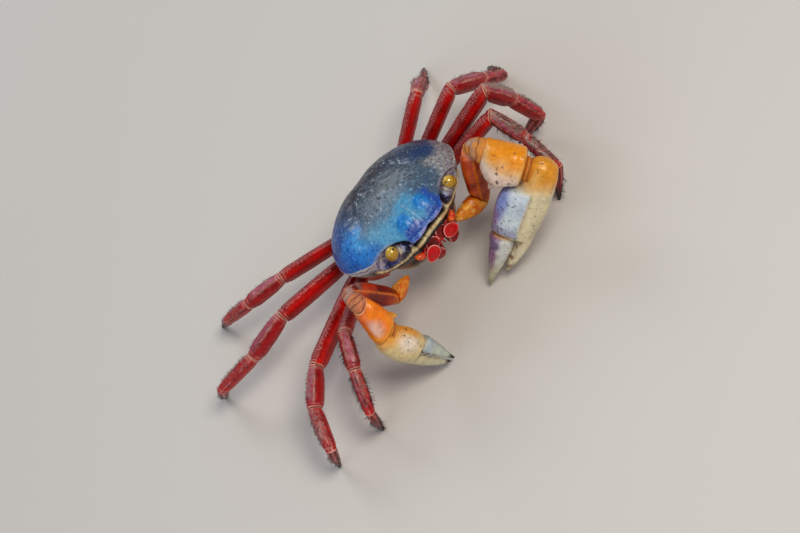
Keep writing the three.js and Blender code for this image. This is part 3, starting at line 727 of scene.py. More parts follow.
# %% Rings of a solid
def walk_round(ring):
    """The vertices of a ring in order round it."""
    left = sorted(ring, key=lambda v: v.index)
    walk = [left.pop(0)]
    while left:
        beside = {e.other_vert(walk[-1]) for e in walk[-1].link_edges}
        step = next(v for v in left if v in beside)
        left.remove(step)
        walk.append(step)
    return walk


def line_up(ring, before):
    """A ring turned or reversed so that its points lie opposite those of the ring before."""
    shape, goal = ring - ring.mean(0), before - before.mean(0)
    turns = [np.roll(r, k, 0) for r in (shape, shape[::-1]) for k in range(len(ring))]
    best = min(turns, key=lambda r: ((r - goal) ** 2).sum())
    return best + ring.mean(0)


def solid_rings(node, near):
    """Rings of a lofted solid in mm, [ring, point, xyz], starting at the end near a point."""
    shape = bmesh.new()
    shape.from_mesh(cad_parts[node].data)
    bmesh.ops.remove_doubles(shape, verts=shape.verts, dist=0.001 * MM)
    hubs = sorted(shape.verts, key=lambda v: len(v.link_edges))[-2:]
    goal = Vector(np.asarray(near, float) * MM)
    start, end = sorted(hubs, key=lambda v: (v.co - goal).length)
    rings, seen, ring = [], {start}, {e.other_vert(start) for e in start.link_edges}
    while ring and end not in ring:
        points = np.array([v.co for v in walk_round(ring)]) / MM
        rings.append(line_up(points, rings[-1]) if rings else points)
        seen |= ring
        ring = {e.other_vert(v) for v in ring for e in v.link_edges} - seen
    shape.free()
    return np.array(rings)


def middle_of(node):
    """The middle of a solid's box in mm."""
    return np.mean(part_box(node), axis=0) / MM


print("a merus has rings, points:", solid_rings("leg_left_1_merus", BODY).shape[:2])

# %% [markdown]
# ## Plates with rounded ends
# A limb's segment is a tube of shell that ends in a rolled lip round a shallow cup, where the
# soft hide of the joint is set in. The function below lays a fine grid through a solid's rings,
# closer together at both ends, and finds for each point how far along it is and how it lies
# round the limb: 90 degrees is the crest on top, 0 and 180 are the faces.

# %% A fine grid through a solid
# share of the rim's size and of the depth for each row that closes an end, sunk or bulging
CUP = ((0.86, 0.12), (0.76, 1), (0.4, 1.2))
DOME = ((0.88, 0.4), (0.64, 0.8), (0.3, 1))
CUP_DEPTH = 1.1
SHORTEST_GAP = 0.3  # mm between two rings that lie closer
FEWEST_ROWS = 16


class Plate:
    """
    A fine grid over one lofted solid, with the coordinates that relief and paint use: t is the
    share of its length, s and rest are the mm from its near and far end, angle is in degrees
    round it, and top is 1 on the crest and -1 opposite.
    """

    def __init__(self, rings, lift, step, sides, cluster=0.1):
        corners = rings.shape[1]
        turned = around(rings.transpose(1, 0, 2), np.arange(corners), corners,
                        np.arange(sides) * corners / sides).transpose(1, 0, 2)
        middle = rings.mean(1)
        gaps = np.linalg.norm(np.diff(middle, axis=0), axis=1)
        places = np.concatenate([[0], np.cumsum(np.maximum(gaps, SHORTEST_GAP))])
        self.length = places[-1]
        share = np.linspace(0, 1, max(FEWEST_ROWS, int(self.length / step)))
        share = np.clip(share - 0.9 * cluster * np.sin(2 * math.pi * share), 0, 1)
        self.grid = flow(turned, places, share * self.length)
        self.t = share[:, None] * np.ones(sides)
        self.s = self.t * self.length
        self.rest = self.length - self.s
        self.cups = (0, 0)
        self.axis = unit(middle[-1] - middle[0])
        lift = unit(lift - self.axis * (lift @ self.axis))
        out = self.grid - self.grid.mean(1, keepdims=True)
        self.angle = np.degrees(np.arctan2(out @ lift, out @ np.cross(self.axis, lift))) % 360
        self.top = np.sin(np.radians(self.angle))
        self.radius = np.linalg.norm(out, axis=-1)

    def from_top(self, degrees=90):
        """Degrees round the plate from a direction, 0 to 180."""
        return np.abs((self.angle - degrees + 180) % 360 - 180)

    def strip(self, degrees, width):
        """1 along a line at an angle round the plate, falling off over a width in degrees."""
        return hill(self.from_top(degrees), 0, width)

    def mottle(self, size, seed):
        """Noise over the plate, -1 to 1, with lumps of a size in mm."""
        return mottle(self.grid, size, seed)

    def push(self, heights):
        """Moves the surface out along its normals by heights in mm."""
        self.grid = swell(self.grid, heights)

    def cup_ends(self, lip=0.6, inset=0.06, start=CUP_DEPTH, end=CUP_DEPTH):
        """Rolls the ends over and closes each by a cup so many mm deep, or a dome where negative."""
        centre = self.grid.mean(1, keepdims=True)
        near = np.minimum(self.s if start else np.inf, self.rest if end else np.inf)
        roll = 1 - np.sqrt(np.clip(1 - (1 - np.clip(near / lip, 0, 1)) ** 2, 0, 1))
        self.grid = centre + (self.grid - centre) * (1 - inset * roll)[..., None]
        for here, inward, sink in ((0, self.axis, start), (-1, -self.axis, end)):
            if not sink:
                continue
            rim = self.grid[here]
            hub = rim.mean(0)
            rows = [hub + (rim - hub) * k + inward * sink * d for k, d in (CUP if sink > 0 else DOME)]
            stack = np.array(rows if here else rows[::-1])
            self.grid = np.concatenate([self.grid, stack] if here else [stack, self.grid])
        self.cups = tuple(len(CUP) if sink else 0 for sink in (start, end))

    def spread(self, values):
        """Values of the grid's rows, repeated over the rows of the cups."""
        return np.pad(values, [self.cups] + [(0, 0)] * (values.ndim - 1), mode="edge")


def plate_piece(node, plate, paint, look, slot):
    """The painted plate that stands for one solid."""
    return piece(f"{node}_plate", grid_mesh(node, plate.grid, plate.spread(paint)), look, slot, node)


print("rows that close an end:", len(CUP), "deep in mm:", CUP_DEPTH)

# %% [markdown]
# ## Walking legs
# A leg has five segments on show: hip, merus, carpus, propodus and the pointed dactyl. The
# crest is carried from one to the next without twist. The merus wears a band of granules along
# its crest, the next two are keeled, and the dactyl is ribbed down to a horny tip. Each segment
# gets one function that pushes its relief and gives its paint.

# %% Granules
GRANULE_SPACING = (1.25, 1.35)


def granules(plate, seed):
    """Low grains set like bricks, 0 to 1."""
    along, across = GRANULE_SPACING
    course = plate.s / along + 0.35 * plate.mottle(2.2, seed)
    round_it = np.radians(plate.angle) * plate.radius / across + 0.3 * plate.mottle(1.8, seed + 1)
    round_it = round_it + 0.5 * (np.floor(course) % 2)
    grain = np.sin(math.pi * (course % 1)) * np.sin(math.pi * (round_it % 1))
    return grain * (0.75 + 0.5 * plate.mottle(0.9, seed + 2))


print("mm between granules, along and across:", GRANULE_SPACING)

# %% [markdown]
# The short hip is coral and cream. The merus is the leg's largest plate: its faces are smooth and
# red, its crest is a band of granules under dust, and a low ridge parts the two.

# %% Hip and merus
def leg_hip(plate, seed):
    """The short base, coral and cream."""
    plate.push(0.08 * plate.mottle(1.8, seed) - 0.18 * hill(plate.rest, 1.7, 0.45))
    return coats("#b32c22",
        ("#d9805e", 0.4 + 0.5 * plate.mottle(3.5, seed)),
        ("#7c1c1a", 0.5 * ease(-plate.top, 0.2, 0.9)),
    )


def leg_merus(plate, seed):
    """Saturated red faces under a granular, dusty crest."""
    band = ease(plate.top + 0.12 * plate.mottle(2.5, seed + 5), 0.42, 0.72)
    grains = 2 * granules(plate, seed) - 0.9
    faint = ease(plate.top, 0.0, 0.45) * (1 - band)
    corner = hill(plate.top, 0.6, 0.14)
    ends = hill(plate.s, 1.7, 0.4) + hill(plate.rest, 2.0, 0.45)
    plate.push(0.2 * corner - 0.12 * band + 0.14 * band * grains + 0.07 * faint * grains - 0.16 * ends
               + 0.06 * plate.mottle(1.6, seed))
    fine = ease(plate.mottle(0.8, seed + 7), 0.0, 0.5)
    dust = coats("#b9807a",
        ("#8a161a", ease(-grains + 0.3 * fine, -0.1, 0.6)),
        ("#94857f", 0.75 * fall(plate.t, 0.12, 0.62) * ease(grains, -0.6, 0.3)),
    )
    return coats("#c40302",
        ("#860306", 0.42 + 0.6 * plate.mottle(5, seed)),
        ("#e01c10", 0.5 * hill(plate.top, 0.1, 0.2)),
        (dust, 0.8 * band),
        ("#cf6a5c", 0.6 * faint * ease(grains, 0.3, 0.8)),
        ("#a8483c", 0.5 * ease(-plate.top, 0.6, 0.95)),
    )


print("first segments:", leg_hip.__name__, leg_merus.__name__)

# %% [markdown]
# The next two segments are flattened. Their keels are worn pale, with a violet-pink field between
# them or pits where bristles stand. On the carpus the field is partly a painted sheen, with a paler
# painted highlight on it. The dactyl is a fluted spike.

# %% Carpus, propodus and dactyl
def leg_carpus(plate, seed):
    """Two keels with a violet-pink field between them, partly a painted sheen, and a painted highlight."""
    grown = np.sin(math.pi * np.clip(0.08 + plate.t * 0.96, 0, 1)) ** 0.5
    wobble = 5 * plate.mottle(3.0, seed + 4)
    keel = sum(hill(plate.from_top(angle) + wobble, 0, 8) for angle in (64, 116))
    field = ease(21 - plate.from_top() + wobble, 0, 10)
    plate.push(grown * (0.42 * keel - 0.22 * field) - 0.12 * hill(plate.s, 1.5, 0.4)
               - 0.16 * hill(plate.rest, 1.8, 0.4) + 0.05 * plate.mottle(1.4, seed))
    worn = ease(plate.mottle(1.6, seed + 9), -0.5, 0.3)
    rough = ease(plate.mottle(0.9, seed + 6), 0.1, 0.6) * hill(plate.top, -0.15, 0.35)
    return coats("#b40d12",
        ("#8f0a14", 0.5 + 0.5 * plate.mottle(4, seed)),
        # violet-pink field, partly a painted sheen; the paler pink over it is a painted highlight
        ("#ac3660", 0.75 * field * grown),
        ("#cf93ae", 0.45 * field * grown * ease(plate.mottle(2.6, seed + 3), 0.1, 0.7)),
        ("#d39a90", (0.3 + 0.45 * worn) * ease(keel, 0.4, 0.9) * grown),
        ("#c9716c", 0.6 * rough),
        ("#a8483c", 0.5 * ease(-plate.top, 0.6, 0.95)),
    )


def leg_propodus(plate, seed):
    """Dark red and flattened, with pale keels and pits where the bristles stand."""
    wobble = 4 * plate.mottle(2.5, seed + 4)
    keel = sum(hill(plate.from_top(angle) + wobble, 0, 6.5) for angle in (42, 90, 138))
    pits = ease(plate.mottle(0.9, seed), 0.35, 0.7) * ease(plate.top, -0.2, 0.4) * fall(keel, 0.3, 0.8)
    plate.push(0.3 * keel * np.sin(math.pi * np.clip(plate.t, 0, 1)) ** 0.5 - 0.16 * pits
               - 0.12 * hill(plate.s, 1.5, 0.4) - 0.14 * hill(plate.rest, 1.6, 0.4))
    return coats("#a30b12",
        ("#c41a1c", 0.5 + 0.5 * plate.mottle(4, seed)),
        ("#d08a86", 0.75 * ease(keel, 0.4, 0.95) * ease(plate.mottle(1.3, seed + 2), -0.6, 0.1)),
        # violet-pink strip near the top, partly a painted sheen
        ("#b9567a", 0.5 * plate.strip(66, 12) * fall(plate.t, 0.5, 0.9)),
        ("#2e0c14", 0.8 * pits),
        ("#b0584a", 0.4 * ease(-plate.top, 0.5, 0.95)),
    )


DACTYL_RIBS = 6


def leg_dactyl(plate, seed):
    """A ribbed spike, red above and horn-brown at its tip."""
    rib = np.cos(np.radians(plate.angle) * DACTYL_RIBS)
    plate.push(0.18 * rib * (1 - plate.t) ** 0.6 * ease(plate.t, 0.02, 0.2) - 0.1 * hill(plate.s, 1.4, 0.4))
    return coats("#a5161c",
        ("#5e1116", 0.5 - 0.5 * rib + 0.4 * plate.mottle(3, seed)),
        ("#cf9a92", 0.5 * ease(rib, 0.5, 1.0) * fall(plate.t, 0.3, 0.7)),
        ("#1f0e0c", ease(plate.t + 0.06 * plate.mottle(2, seed), 0.4, 0.85)),
    )


# relief and paint, slot, mm between rows, points round, and how far the crest leans to the rear,
# as the legs are turned on their sides
LEG_LOOKS = {
    "hip": (leg_hip, "leg_joint_pink", 0.6, 48, 0.5),
    "merus": (leg_merus, "leg_red", 0.3, 72, 0.95),
    "carpus": (leg_carpus, "leg_joint_pink", 0.42, 48, 0.25),
    "propodus": (leg_propodus, "leg_red", 0.42, 48, 0.35),
    "dactyl": (leg_dactyl, "leg_tip_dark", 0.42, 48, 0.35),
}
print("segments of a leg:", list(LEG_LOOKS))

# %% [markdown]
# The rolled ends are worn pale, and grey dust has settled on the crests of the carpus and the
# propodus, most of all on the front left legs. Both are thin coats over the finished paint.

# %% Pale rims and dust
def rims(plate, paint, seed):
    """A thin, uneven pale line on the rolled ends of a segment."""
    near = np.minimum(plate.s, plate.rest) + 0.3 * plate.mottle(1.5, seed)
    line = fall(near, 0.35, 0.8)
    second = hill(near, 1.55, 0.28) * ease(plate.mottle(3.0, seed + 1), -0.4, 0.3)
    return blend(paint, "#dca392", 0.8 * line + 0.55 * second)


# share of grey dust on the crests of the carpus and propodus, by side and number
DUST = {("left", 1): 0.85, ("left", 2): 0.8, ("left", 3): 0.5, ("left", 4): 0.3,
        ("right", 1): 0.4, ("right", 2): 0.55, ("right", 3): 0.3, ("right", 4): 0.25}
DUST_CENTRE = {"left": 118, "right": 90}  # degrees round the limb


def dusty(plate, paint, seed, name, number):
    """Grey-beige dust along the crest, broken into grains and gone before the far end."""
    share, centre = DUST[name, number], DUST_CENTRE[name]
    crest = fall(plate.from_top(centre) + 12 * plate.mottle(2.2, seed + 8), 26, 50)
    grain = ease(plate.mottle(0.7, seed + 9), -0.6, 0.25)
    return blend(paint, "#a09088", share * crest * grain * fall(plate.t, 0.72, 0.96))


print("dustiest legs:", sorted(DUST, key=DUST.get)[-2:])

# %% [markdown]
# Last the limbs are put together from the body outwards, so that each solid's rings start at
# the end that the one before it left off.

# %% Forty leg plates
def limb_rings(limb, parts):
    """The rings of each segment of a limb, from the body outwards."""
    near, found = BODY, []
    for part in parts:
        found.append(solid_rings(f"{limb}_{part}", near))
        near = found[-1][-1].mean(0)
    return found


def carried(rings_list, sign):
    """The crest direction of each segment of a limb, carried along it without twist."""
    axes = [Vector(r[-1].mean(0) - r[0].mean(0)).normalized() for r in rings_list]
    level = Vector((axes[0].y, -axes[0].x, 0)).normalized() * -sign
    lifts = []
    for i, axis in enumerate(axes):
        if i:
            level = axes[i - 1].rotation_difference(axis) @ level
        lifts.append(np.array(axis.cross(level).normalized()) * sign)
    return lifts


LEG_NUMBERS = (1, 2, 3, 4)
REARWARD = np.array([0, 1, 0])
SIDE_SEEDS = {"left": 0, "right": 50}
LEGS = {}
for name, sign in SIDES.items():
    for number in LEG_NUMBERS:
        all_rings = limb_rings(f"leg_{name}_{number}", LEG_LOOKS)
        for part, rings, lift in zip(LEG_LOOKS, all_rings, carried(all_rings, sign)):
            label = f"leg_{name}_{number}_{part}"
            look, slot, step, sides, lean = LEG_LOOKS[part]
            plate = Plate(rings, lift + lean * REARWARD, step, sides)
            seed = 100 * number + SIDE_SEEDS[name] + len(part)
            paint = look(plate, seed)
            if part in ("carpus", "propodus"):
                paint = dusty(plate, paint, seed, name, number)
            if part != "dactyl":
                paint = rims(plate, paint, seed)
            plate.cup_ends(end=0 if part == "dactyl" else CUP_DEPTH)
            LEGS[label] = plate
            plate_piece(label, plate, paint, LEG_PAINT, slot)
print("leg plates:", len(LEGS))

# %% [markdown]
# ## Soft hide in the joints
# Between two plates the real crab has a fold of soft hide. A short bellows runs from inside one
# cup to inside the next, narrower than the plates, so that the joint never shows a gap. A plug
# of hide leads from a limb's root into what carries it.

# %% Bellows and plugs of hide
HIDE_PAINT = plate_paint("matt_joint_resin", 0.55, 0.5, 0.04, "#5a1512", 1.0, 0.3, coat=0.0)
BELLOWS_FOLDS = 3


def as_many(ring, count):
    """A closed ring drawn again with another number of points."""
    total = len(ring)
    return around(ring, np.arange(total), total, np.linspace(0, total, count, endpoint=False))


def bellows(name, first, second, slot, tone="#a8483a", deep="#6e1f1a"):
    """A folded tube from the far cup of one plate to the near cup of the next."""
    start = first.grid[-2]
    end = line_up(as_many(second.grid[1], len(start)), start)
    share = np.linspace(0, 1, 6 * BELLOWS_FOLDS + 1)[:, None, None]
    pleat = np.cos(2 * math.pi * BELLOWS_FOLDS * share)
    rows = start + (end - start) * share
    middle = rows.mean(1, keepdims=True)
    rows = middle + (rows - middle) * (1.06 + 0.07 * pleat)
    # painted shade: each pleat is darker in its valley
    paint = blend(tone, deep, 0.35 - 0.35 * pleat[..., 0])
    return piece(name, grid_mesh(name, rows, paint), HIDE_PAINT, slot)


def root_hide(name, ring, way, length, size, slot, tone):
    """A plug of hide from a limb's first ring back into what carries it."""
    share = np.linspace(0, 1, 9)[:, None, None]
    middle = ring.mean(0)
    rows = middle + (ring - middle) * (size * (1 - 0.25 * share)) + way * (length * (share * 1.2 - 0.2))
    paint = blend(tone, "#5a1c14", 0.3 + 0.6 * mottle(rows, 1.2, 57))
    return piece(name, grid_mesh(name, rows, paint), HIDE_PAINT, slot)


THORAX_MIDDLE = middle_of("thorax")
SEGMENTS = list(LEG_LOOKS)
for name in SIDES:
    for number in LEG_NUMBERS:
        label = f"leg_{name}_{number}"
        for before, after in zip(SEGMENTS, SEGMENTS[1:]):
            bellows(f"{label}_{after}_joint", LEGS[f"{label}_{before}"], LEGS[f"{label}_{after}"],
                    LEG_LOOKS[after][1])
        ring = LEGS[f"{label}_hip"].grid[len(CUP)]
        root_hide(f"{label}_hip_joint", ring, unit(THORAX_MIDDLE - ring.mean(0)), 6.0, 0.86,
                  "leg_joint_pink", "#c0604a")
print("joint bellows:", sum(o.name.endswith("_joint") for o in PIECES))

# %% [markdown]
# The elbow of a claw shows more hide than any other joint: a tube of soft, uneven rolls that
# bends from the merus over the carpus. A cubic curve leads its rings round the bend, and noise
# shifts the rolls so that it never looks like a spring.

# %% Elbow rolls
def turned(ring, old, new):
    """A ring's points from its middle, turned with one direction into another."""
    turn = np.array(Vector(old).rotation_difference(Vector(new)).to_matrix())
    return (ring - ring.mean(0)) @ turn.T


def bend(here, there, leave, arrive, count):
    """A cubic line between two points with given directions at its ends, and where it heads."""
    u = np.linspace(0, 1, count)[:, None]
    line = here * (2 * u**3 - 3 * u**2 + 1) + there * (3 * u**2 - 2 * u**3)
    line = line + leave * (u**3 - 2 * u**2 + u) + arrive * (u**3 - u**2)
    return line, unit(np.gradient(line, axis=0))


ELBOW_OVERLAP = 1.8  # mm of the next plate that the hide covers


def elbow(name, first, second, slot, tone, deep, folds):
    """A tube of soft rolls that bends out of one plate's far end and over the next one's near end."""
    start = first.grid[-1 - len(CUP)]
    end = second.grid[len(CUP) + np.searchsorted(second.s[:, 0], ELBOW_OVERLAP)]
    end = as_many(end, len(start))
    here, there = start.mean(0) - first.axis, end.mean(0)
    end = line_up(turned(end, second.axis, first.axis), start - start.mean(0))
    span = np.linalg.norm(there - here)
    line, ahead = bend(here, there, first.axis * span, second.axis * span, 12 * folds + 1)
    share = np.linspace(0, 1, len(line))
    rows = []
    for k, soft in enumerate(3 * share**2 - 2 * share**3):
        ring = (start - start.mean(0)) * 0.9 * (1 - soft) + (end - end.mean(0)) * soft
        rows.append(line[k] + turned(ring, first.axis, ahead[k]))
    rows = np.array(rows)
    along = folds * share[:, None] + 0.3 * mottle(rows, 3.4, 57)
    roll = np.abs(np.sin(math.pi * along)) ** 0.55
    rows = swell(rows, 1.8 / folds * roll - 0.1 + 0.1 * mottle(rows, 1.2, 55))
    # painted shade: the hide is darker in the creases between the rolls
    paint = blend(deep, tone, ease(roll, 0.2, 0.7) + 0.35 * mottle(rows, 1.0, 56))
    grey = ease(mottle(rows, 2.6, 58), -0.35, 0.35) * hill(share[:, None], 0.4, 0.3)
    paint = blend(paint, "#ab9b98", 0.75 * grey)
    return piece(name, grid_mesh(name, rows, paint), HIDE_PAINT, slot)


print("an elbow's hide covers", ELBOW_OVERLAP, "mm of the carpus")

# %% [markdown]
# ## A claw's own frame
# The rings of a palm lie square to its length, and each is taller than thick. So the palm's
# rings alone give the claw's three directions: along it, over it towards the movable finger,
# and through it. Relief and paint use the distances along and over from the wrist.

# %% Claw frames
# where the first ring of each palm lies from the wrist, along and over, and the outer face
PALM_START = {"left": (-9.2, -6.5, -1), "right": (-1.6, -1.4, 1)}


def claw_frame(name):
    """Wrist, directions along, over and through the claw, and the rings of palm and finger."""
    palm = solid_rings(f"claw_{name}_palm", middle_of(f"claw_{name}_carpus"))
    finger = solid_rings(f"claw_{name}_finger", palm[5].mean(0))
    broad = max(palm, key=lambda r: np.linalg.norm(r - r.mean(0), axis=1).sum())
    over, _, along = np.linalg.svd(broad - broad.mean(0))[2]
    along = along * np.sign(along @ (palm[-1].mean(0) - palm[0].mean(0)))
    over = over * np.sign(over @ (finger[0].mean(0) - palm[0].mean(0)))
    start_along, start_over, outer = PALM_START[name]
    wrist = palm[0].mean(0) - along * start_along - over * start_over
    return {"palm": palm, "finger": finger, "wrist": wrist, "along": along, "over": over,
            "outward": np.cross(along, over) * outer}


def claw_places(plate, claw):
    """Distances of a plate's points along and over the claw, and -1 to 1 for inner to outer."""
    away = plate.grid - claw["wrist"]
    outer = np.clip(grid_normals(plate.grid) @ claw["outward"], -1, 1)
    return away @ claw["along"], away @ claw["over"], outer


def ledge(rings, index, count=3):
    """Rings with straight steps put in before one ring, where a shelf should stay flat."""
    before, step = rings[index - 1], (rings[index] - rings[index - 1]) / (count + 1)
    steps = [before + step * k for k in range(1, count + 1)]
    return np.concatenate([rings[:index], steps, rings[index:]])


CLAWS = {name: claw_frame(name) for name in SIDES}
print("claws point along:", {name: claw["along"].round(2).tolist() for name, claw in CLAWS.items()})

# %% [markdown]
# ## Palms and fingers
# The big claw's palm is amber at the wrist and cream along its outer edge. The finger side
# carries a convex lavender pad, parted from the rest by a groove. The small claw is cream with
# dark pits. Both have a fixed finger with low teeth, facing the teeth of the movable one.

# %% Specks and teeth
def specks(points, size, amount, seed):
    """Round dark specks about size mm across; amount from 0 to 1 is how many."""
    field = 0.7 * mottle(points, size, seed) + 0.45 * mottle(points, size * 0.55, seed + 1)
    return ease(field, 0.86 - 0.5 * amount, 0.98 - 0.5 * amount)


def teeth(plate, along, places, angle, height, width=1.2):
    """Low rounded teeth at places along a finger's cutting edge."""
    rows = sum(hill(along, place, width) for place in places)
    plate.push(height * rows * plate.strip(angle, 30))


print("a speck field covers:", round(float(specks(CLAWS["left"]["palm"], 1.0, 0.7, 1).mean()), 2))

# %% [markdown]
# In the big claw `a` and `d` are the mm along the claw and over it. The pad's border is a curve in
# them, and everything on the pad fades out at that border.

# %% Big claw: palm and movable finger
def big_palm(plate, claw):
    """Amber shoulder, cream edge and lavender pad."""
    a, d, outer = claw_places(plate, claw)
    border = -3.6 - 0.005 * (a - 20) ** 2 + 0.7 * plate.mottle(5, 9)
    pad = ease(d - border, -0.9, 1.3) * ease(a - 0.8 * plate.mottle(3, 10), 6.6, 9.6)
    pad = pad * fall(a, 34.2, 35.2)
    groove = hill(d - border, -0.6, 0.5) * ease(a, 6, 10) * fall(a, 27, 32)
    pits = specks(plate.grid, 1.3, 0.36, 5) * fall(a, 40, 46)
    hinge = hill(a, 34.6, 0.5) * ease(d, -4, -1)
    closed = ease(a, 37, 39) * plate.strip(90, 45)
    plate.push(0.45 * pad * ease(np.abs(outer), 0.1, 0.6) - 0.2 * groove - 0.25 * pits - 0.3 * hinge
               + 0.5 * closed + 0.1 * plate.mottle(3.2, 6) + 0.04 * plate.mottle(1.0, 7))
    teeth(plate, a, (38.6, 42.6, 46.5, 50), 90, 0.4)
    cloud = plate.mottle(6, 8)
    paint = coats("#e29a28",
        ("#e2d4ae", ease(a + 2.5 * cloud, -1, 9)),
        ("#e3b45c", 0.7 * hill(a, 0, 5) * ease(d, -9, -4)),
        ("#c2b898", 0.75 * ease(a, 12, 28) * ease(-d + cloud, 8, 13)),
        ("#dccfae", 0.6 * ease(a, 34, 40)),
    )
    white = coats("#d8e2e6",
        ("#b8c6dc", 0.5 + 0.5 * cloud),
        ("#8291c9", 0.9 * ease(d + 0.8 * cloud, 3.6, 7.2) * fall(a, 24, 30)),
        ("#97759f", 0.85 * ease(d + cloud, 4.2, 8) * ease(a, 18, 26)),
        ("#938ba4", 0.65 * ease(a + 2 * cloud, 27, 33)),
        ("#d2dcd8", 0.6 * hill(d, 1.2, 2.6) * hill(a, 17, 8)),
        ("#262637", 0.85 * specks(plate.grid, 0.95, 0.64 + 0.26 * ease(a, 18, 32), 11)),
        ("#4a4658", 0.7 * specks(plate.grid, 0.7, 0.55, 12) * ease(a + 3 * cloud, 14, 30)),
    )
    paint = coats(paint,
        (white, pad * ease(outer + 1.4 * ease(d, 0, 8), -0.4, 0.3)),
        ("#6d5236", 0.4 * groove + 0.8 * pits),
        ("#c28b4a", 0.85 * hill(a, 35.2, 1.0) * ease(d, -4, 2)),
    )
    stain = ease(plate.mottle(2.4, 14), 0.05, 0.5) * ease(a, 35, 38) * hill(d, -5.2, 2.4)
    return coats(paint,
        ("#7d4326", 0.75 * stain),
        ("#8d8068", 0.5 * ease(a, 50, 56)),
    )


def big_finger(plate, claw):
    """White with dark specks, magenta along its back and greenish at the tip."""
    a, d, outer = claw_places(plate, claw)
    back = ease(plate.top + 0.25 * plate.mottle(3, 21), -0.05, 0.55)
    ridges = np.sin(2 * math.pi * d / 2.6) * ease(np.abs(outer), 0.5, 0.9) * (1 - plate.t)
    dots = specks(plate.grid, 1.0, 0.74, 23) * ease(a, 38, 43) * fall(a, 58, 64)
    plate.push(0.12 * ridges - 0.18 * dots + 0.06 * plate.mottle(1.6, 22) - 0.3 * hill(plate.s, 2.2, 0.4))
    teeth(plate, a, (41, 45.2, 50, 54.5), 270, 0.4)
    return coats("#d6d6d0",
        ("#bdb79a", ease(a + 2 * plate.mottle(4, 24), 44, 60)),
        ("#8c5580", 0.9 * back * fall(a, 50, 62)),
        ("#6f6a8c", 0.6 * back * hill(a, 42, 4)),
        ("#3a3434", 0.75 * dots),
        ("#d3a25e", 0.7 * fall(a, 36.6, 38.4)),
        ("#9b9470", 0.8 * ease(a, 61, 66)),
    )


print("big claw:", big_palm.__doc__)

# %% [markdown]
# The small claw's palm has an amber upper edge with a row of beads. Its fingers are greenish
# white with horny black tips.

# %% Small claw: palm and movable finger
def small_palm(plate, claw):
    """Amber upper edge, pink-white field and a cream lower half, with dark pits."""
    a, d, outer = claw_places(plate, claw)
    cloud = plate.mottle(4, 31)
    pits = specks(plate.grid, 1.15, 0.74, 32) * ease(d, -6, 0) * ease(a, 2, 5) * fall(a, 18, 24)
    beads = plate.strip(90, 16) * (0.5 + 0.5 * np.sin(2 * math.pi * a / 1.9)) * fall(a, 17, 19)
    plate.push(-0.25 * pits + 0.25 * beads + 0.08 * cloud - 0.3 * hill(a, 19.2, 0.4) * ease(d, -1.5, 0)
               + 0.05 * plate.mottle(1.0, 33))
    teeth(plate, a, (24, 28, 32, 36), 90, 0.55, 0.9)
    field = hill(d, 0.6, 4.2) * hill(a, 10, 8) + 0.12 * cloud
    olive = specks(plate.grid, 1.2, 0.5, 35) * ease(a, 21, 25)
    return coats("#e8a23c",
        ("#dcc490", ease(a - 0.9 * d + 2.5 * cloud, -1, 8)),
        ("#c4bb98", 0.8 * ease(a - d + 2 * cloud, 17, 26)),
        ("#e79c24", 0.9 * ease(d + 0.6 * cloud, 3.8, 6.0) * fall(a, 12, 20)),
        ("#f3e2d0", 0.9 * ease(field, 0.1, 0.9) * ease(outer, -0.3, 0.4)),
        ("#c3bca2", 0.7 * ease(a, 20, 30)),
        ("#3d2c2a", 0.85 * pits),
        ("#6b6f55", 0.6 * olive),
        ("#1f1a18", ease(a + 0.6 * cloud, 38.5, 42)),
    )


def small_finger(plate, claw):
    """Greenish white, speckled olive, with a black tip and painted shade along the cutting edge."""
    a, d, outer = claw_places(plate, claw)
    ridges = np.sin(2 * math.pi * d / 1.9) * ease(np.abs(outer), 0.5, 0.9) * (1 - plate.t)
    plate.push(0.1 * ridges + 0.05 * plate.mottle(1.3, 41) - 0.2 * hill(plate.s, 1.8, 0.4))
    teeth(plate, a, (25, 29, 33), 270, 0.5, 0.9)
    return coats("#c3cabb",
        ("#b9c4cc", hill(a, 25, 3)),
        ("#8f9a90", 0.6 * ease(plate.top, 0.3, 0.9)),
        ("#5f664e", 0.7 * specks(plate.grid, 1.1, 0.5, 43)),
        ("#caa066", 0.6 * fall(a, 21.2, 22.6)),
        # painted shade of the gap between the fingers, along the cutting edge
        ("#26221f", 0.8 * plate.strip(270, 26)),
        ("#1b1817", ease(a + 0.5 * plate.mottle(2, 44), 38.5, 42.5)),
    )


# looks of palm and finger, the palm's ring where the finger's shelf is, and points round the palm
CLAW_LOOKS = {"left": (big_palm, big_finger, 10, 150), "right": (small_palm, small_finger, 6, 110)}
CLAW_STEP = 0.34
for name, (palm_look, finger_look, shelf_at, sides) in CLAW_LOOKS.items():
    claw = CLAWS[name]
    plate = Plate(ledge(claw["palm"], shelf_at), claw["over"], CLAW_STEP, sides, 0.0)
    plate_piece(f"claw_{name}_palm", plate, palm_look(plate, claw), CLAW_PAINT, "claw_cream")
    plate = Plate(claw["finger"], claw["over"], CLAW_STEP, 64, 0.0)
    paint = finger_look(plate, claw)
    root_hide(f"claw_{name}_finger_joint", plate.grid[0], -plate.axis, 2.6, 0.84, "claw_amber", "#c98a48")
    plate_piece(f"claw_{name}_finger", plate, paint, CLAW_PAINT, "claw_cream")
print("palms and fingers:", [len(o.data.polygons) for o in PIECES[-6:]])

# %% [markdown]
# ## Arms of the claws
# Base, merus and carpus lead from the mouth's corner to the wrist. They are the warmest colours
# of the animal: yellow-orange at the base, glossy red-orange above, amber at the wrist. Pale
# granules edge the inner margins, and a small spine stands on each carpus.

# %% Base and merus
ARM_SEED = 300
# dark and bright tone of the merus: the left arm is the brighter
MERUS_TONES = {1: ("#a82c06", "#e0680f"), -1: ("#741202", "#c4400a")}


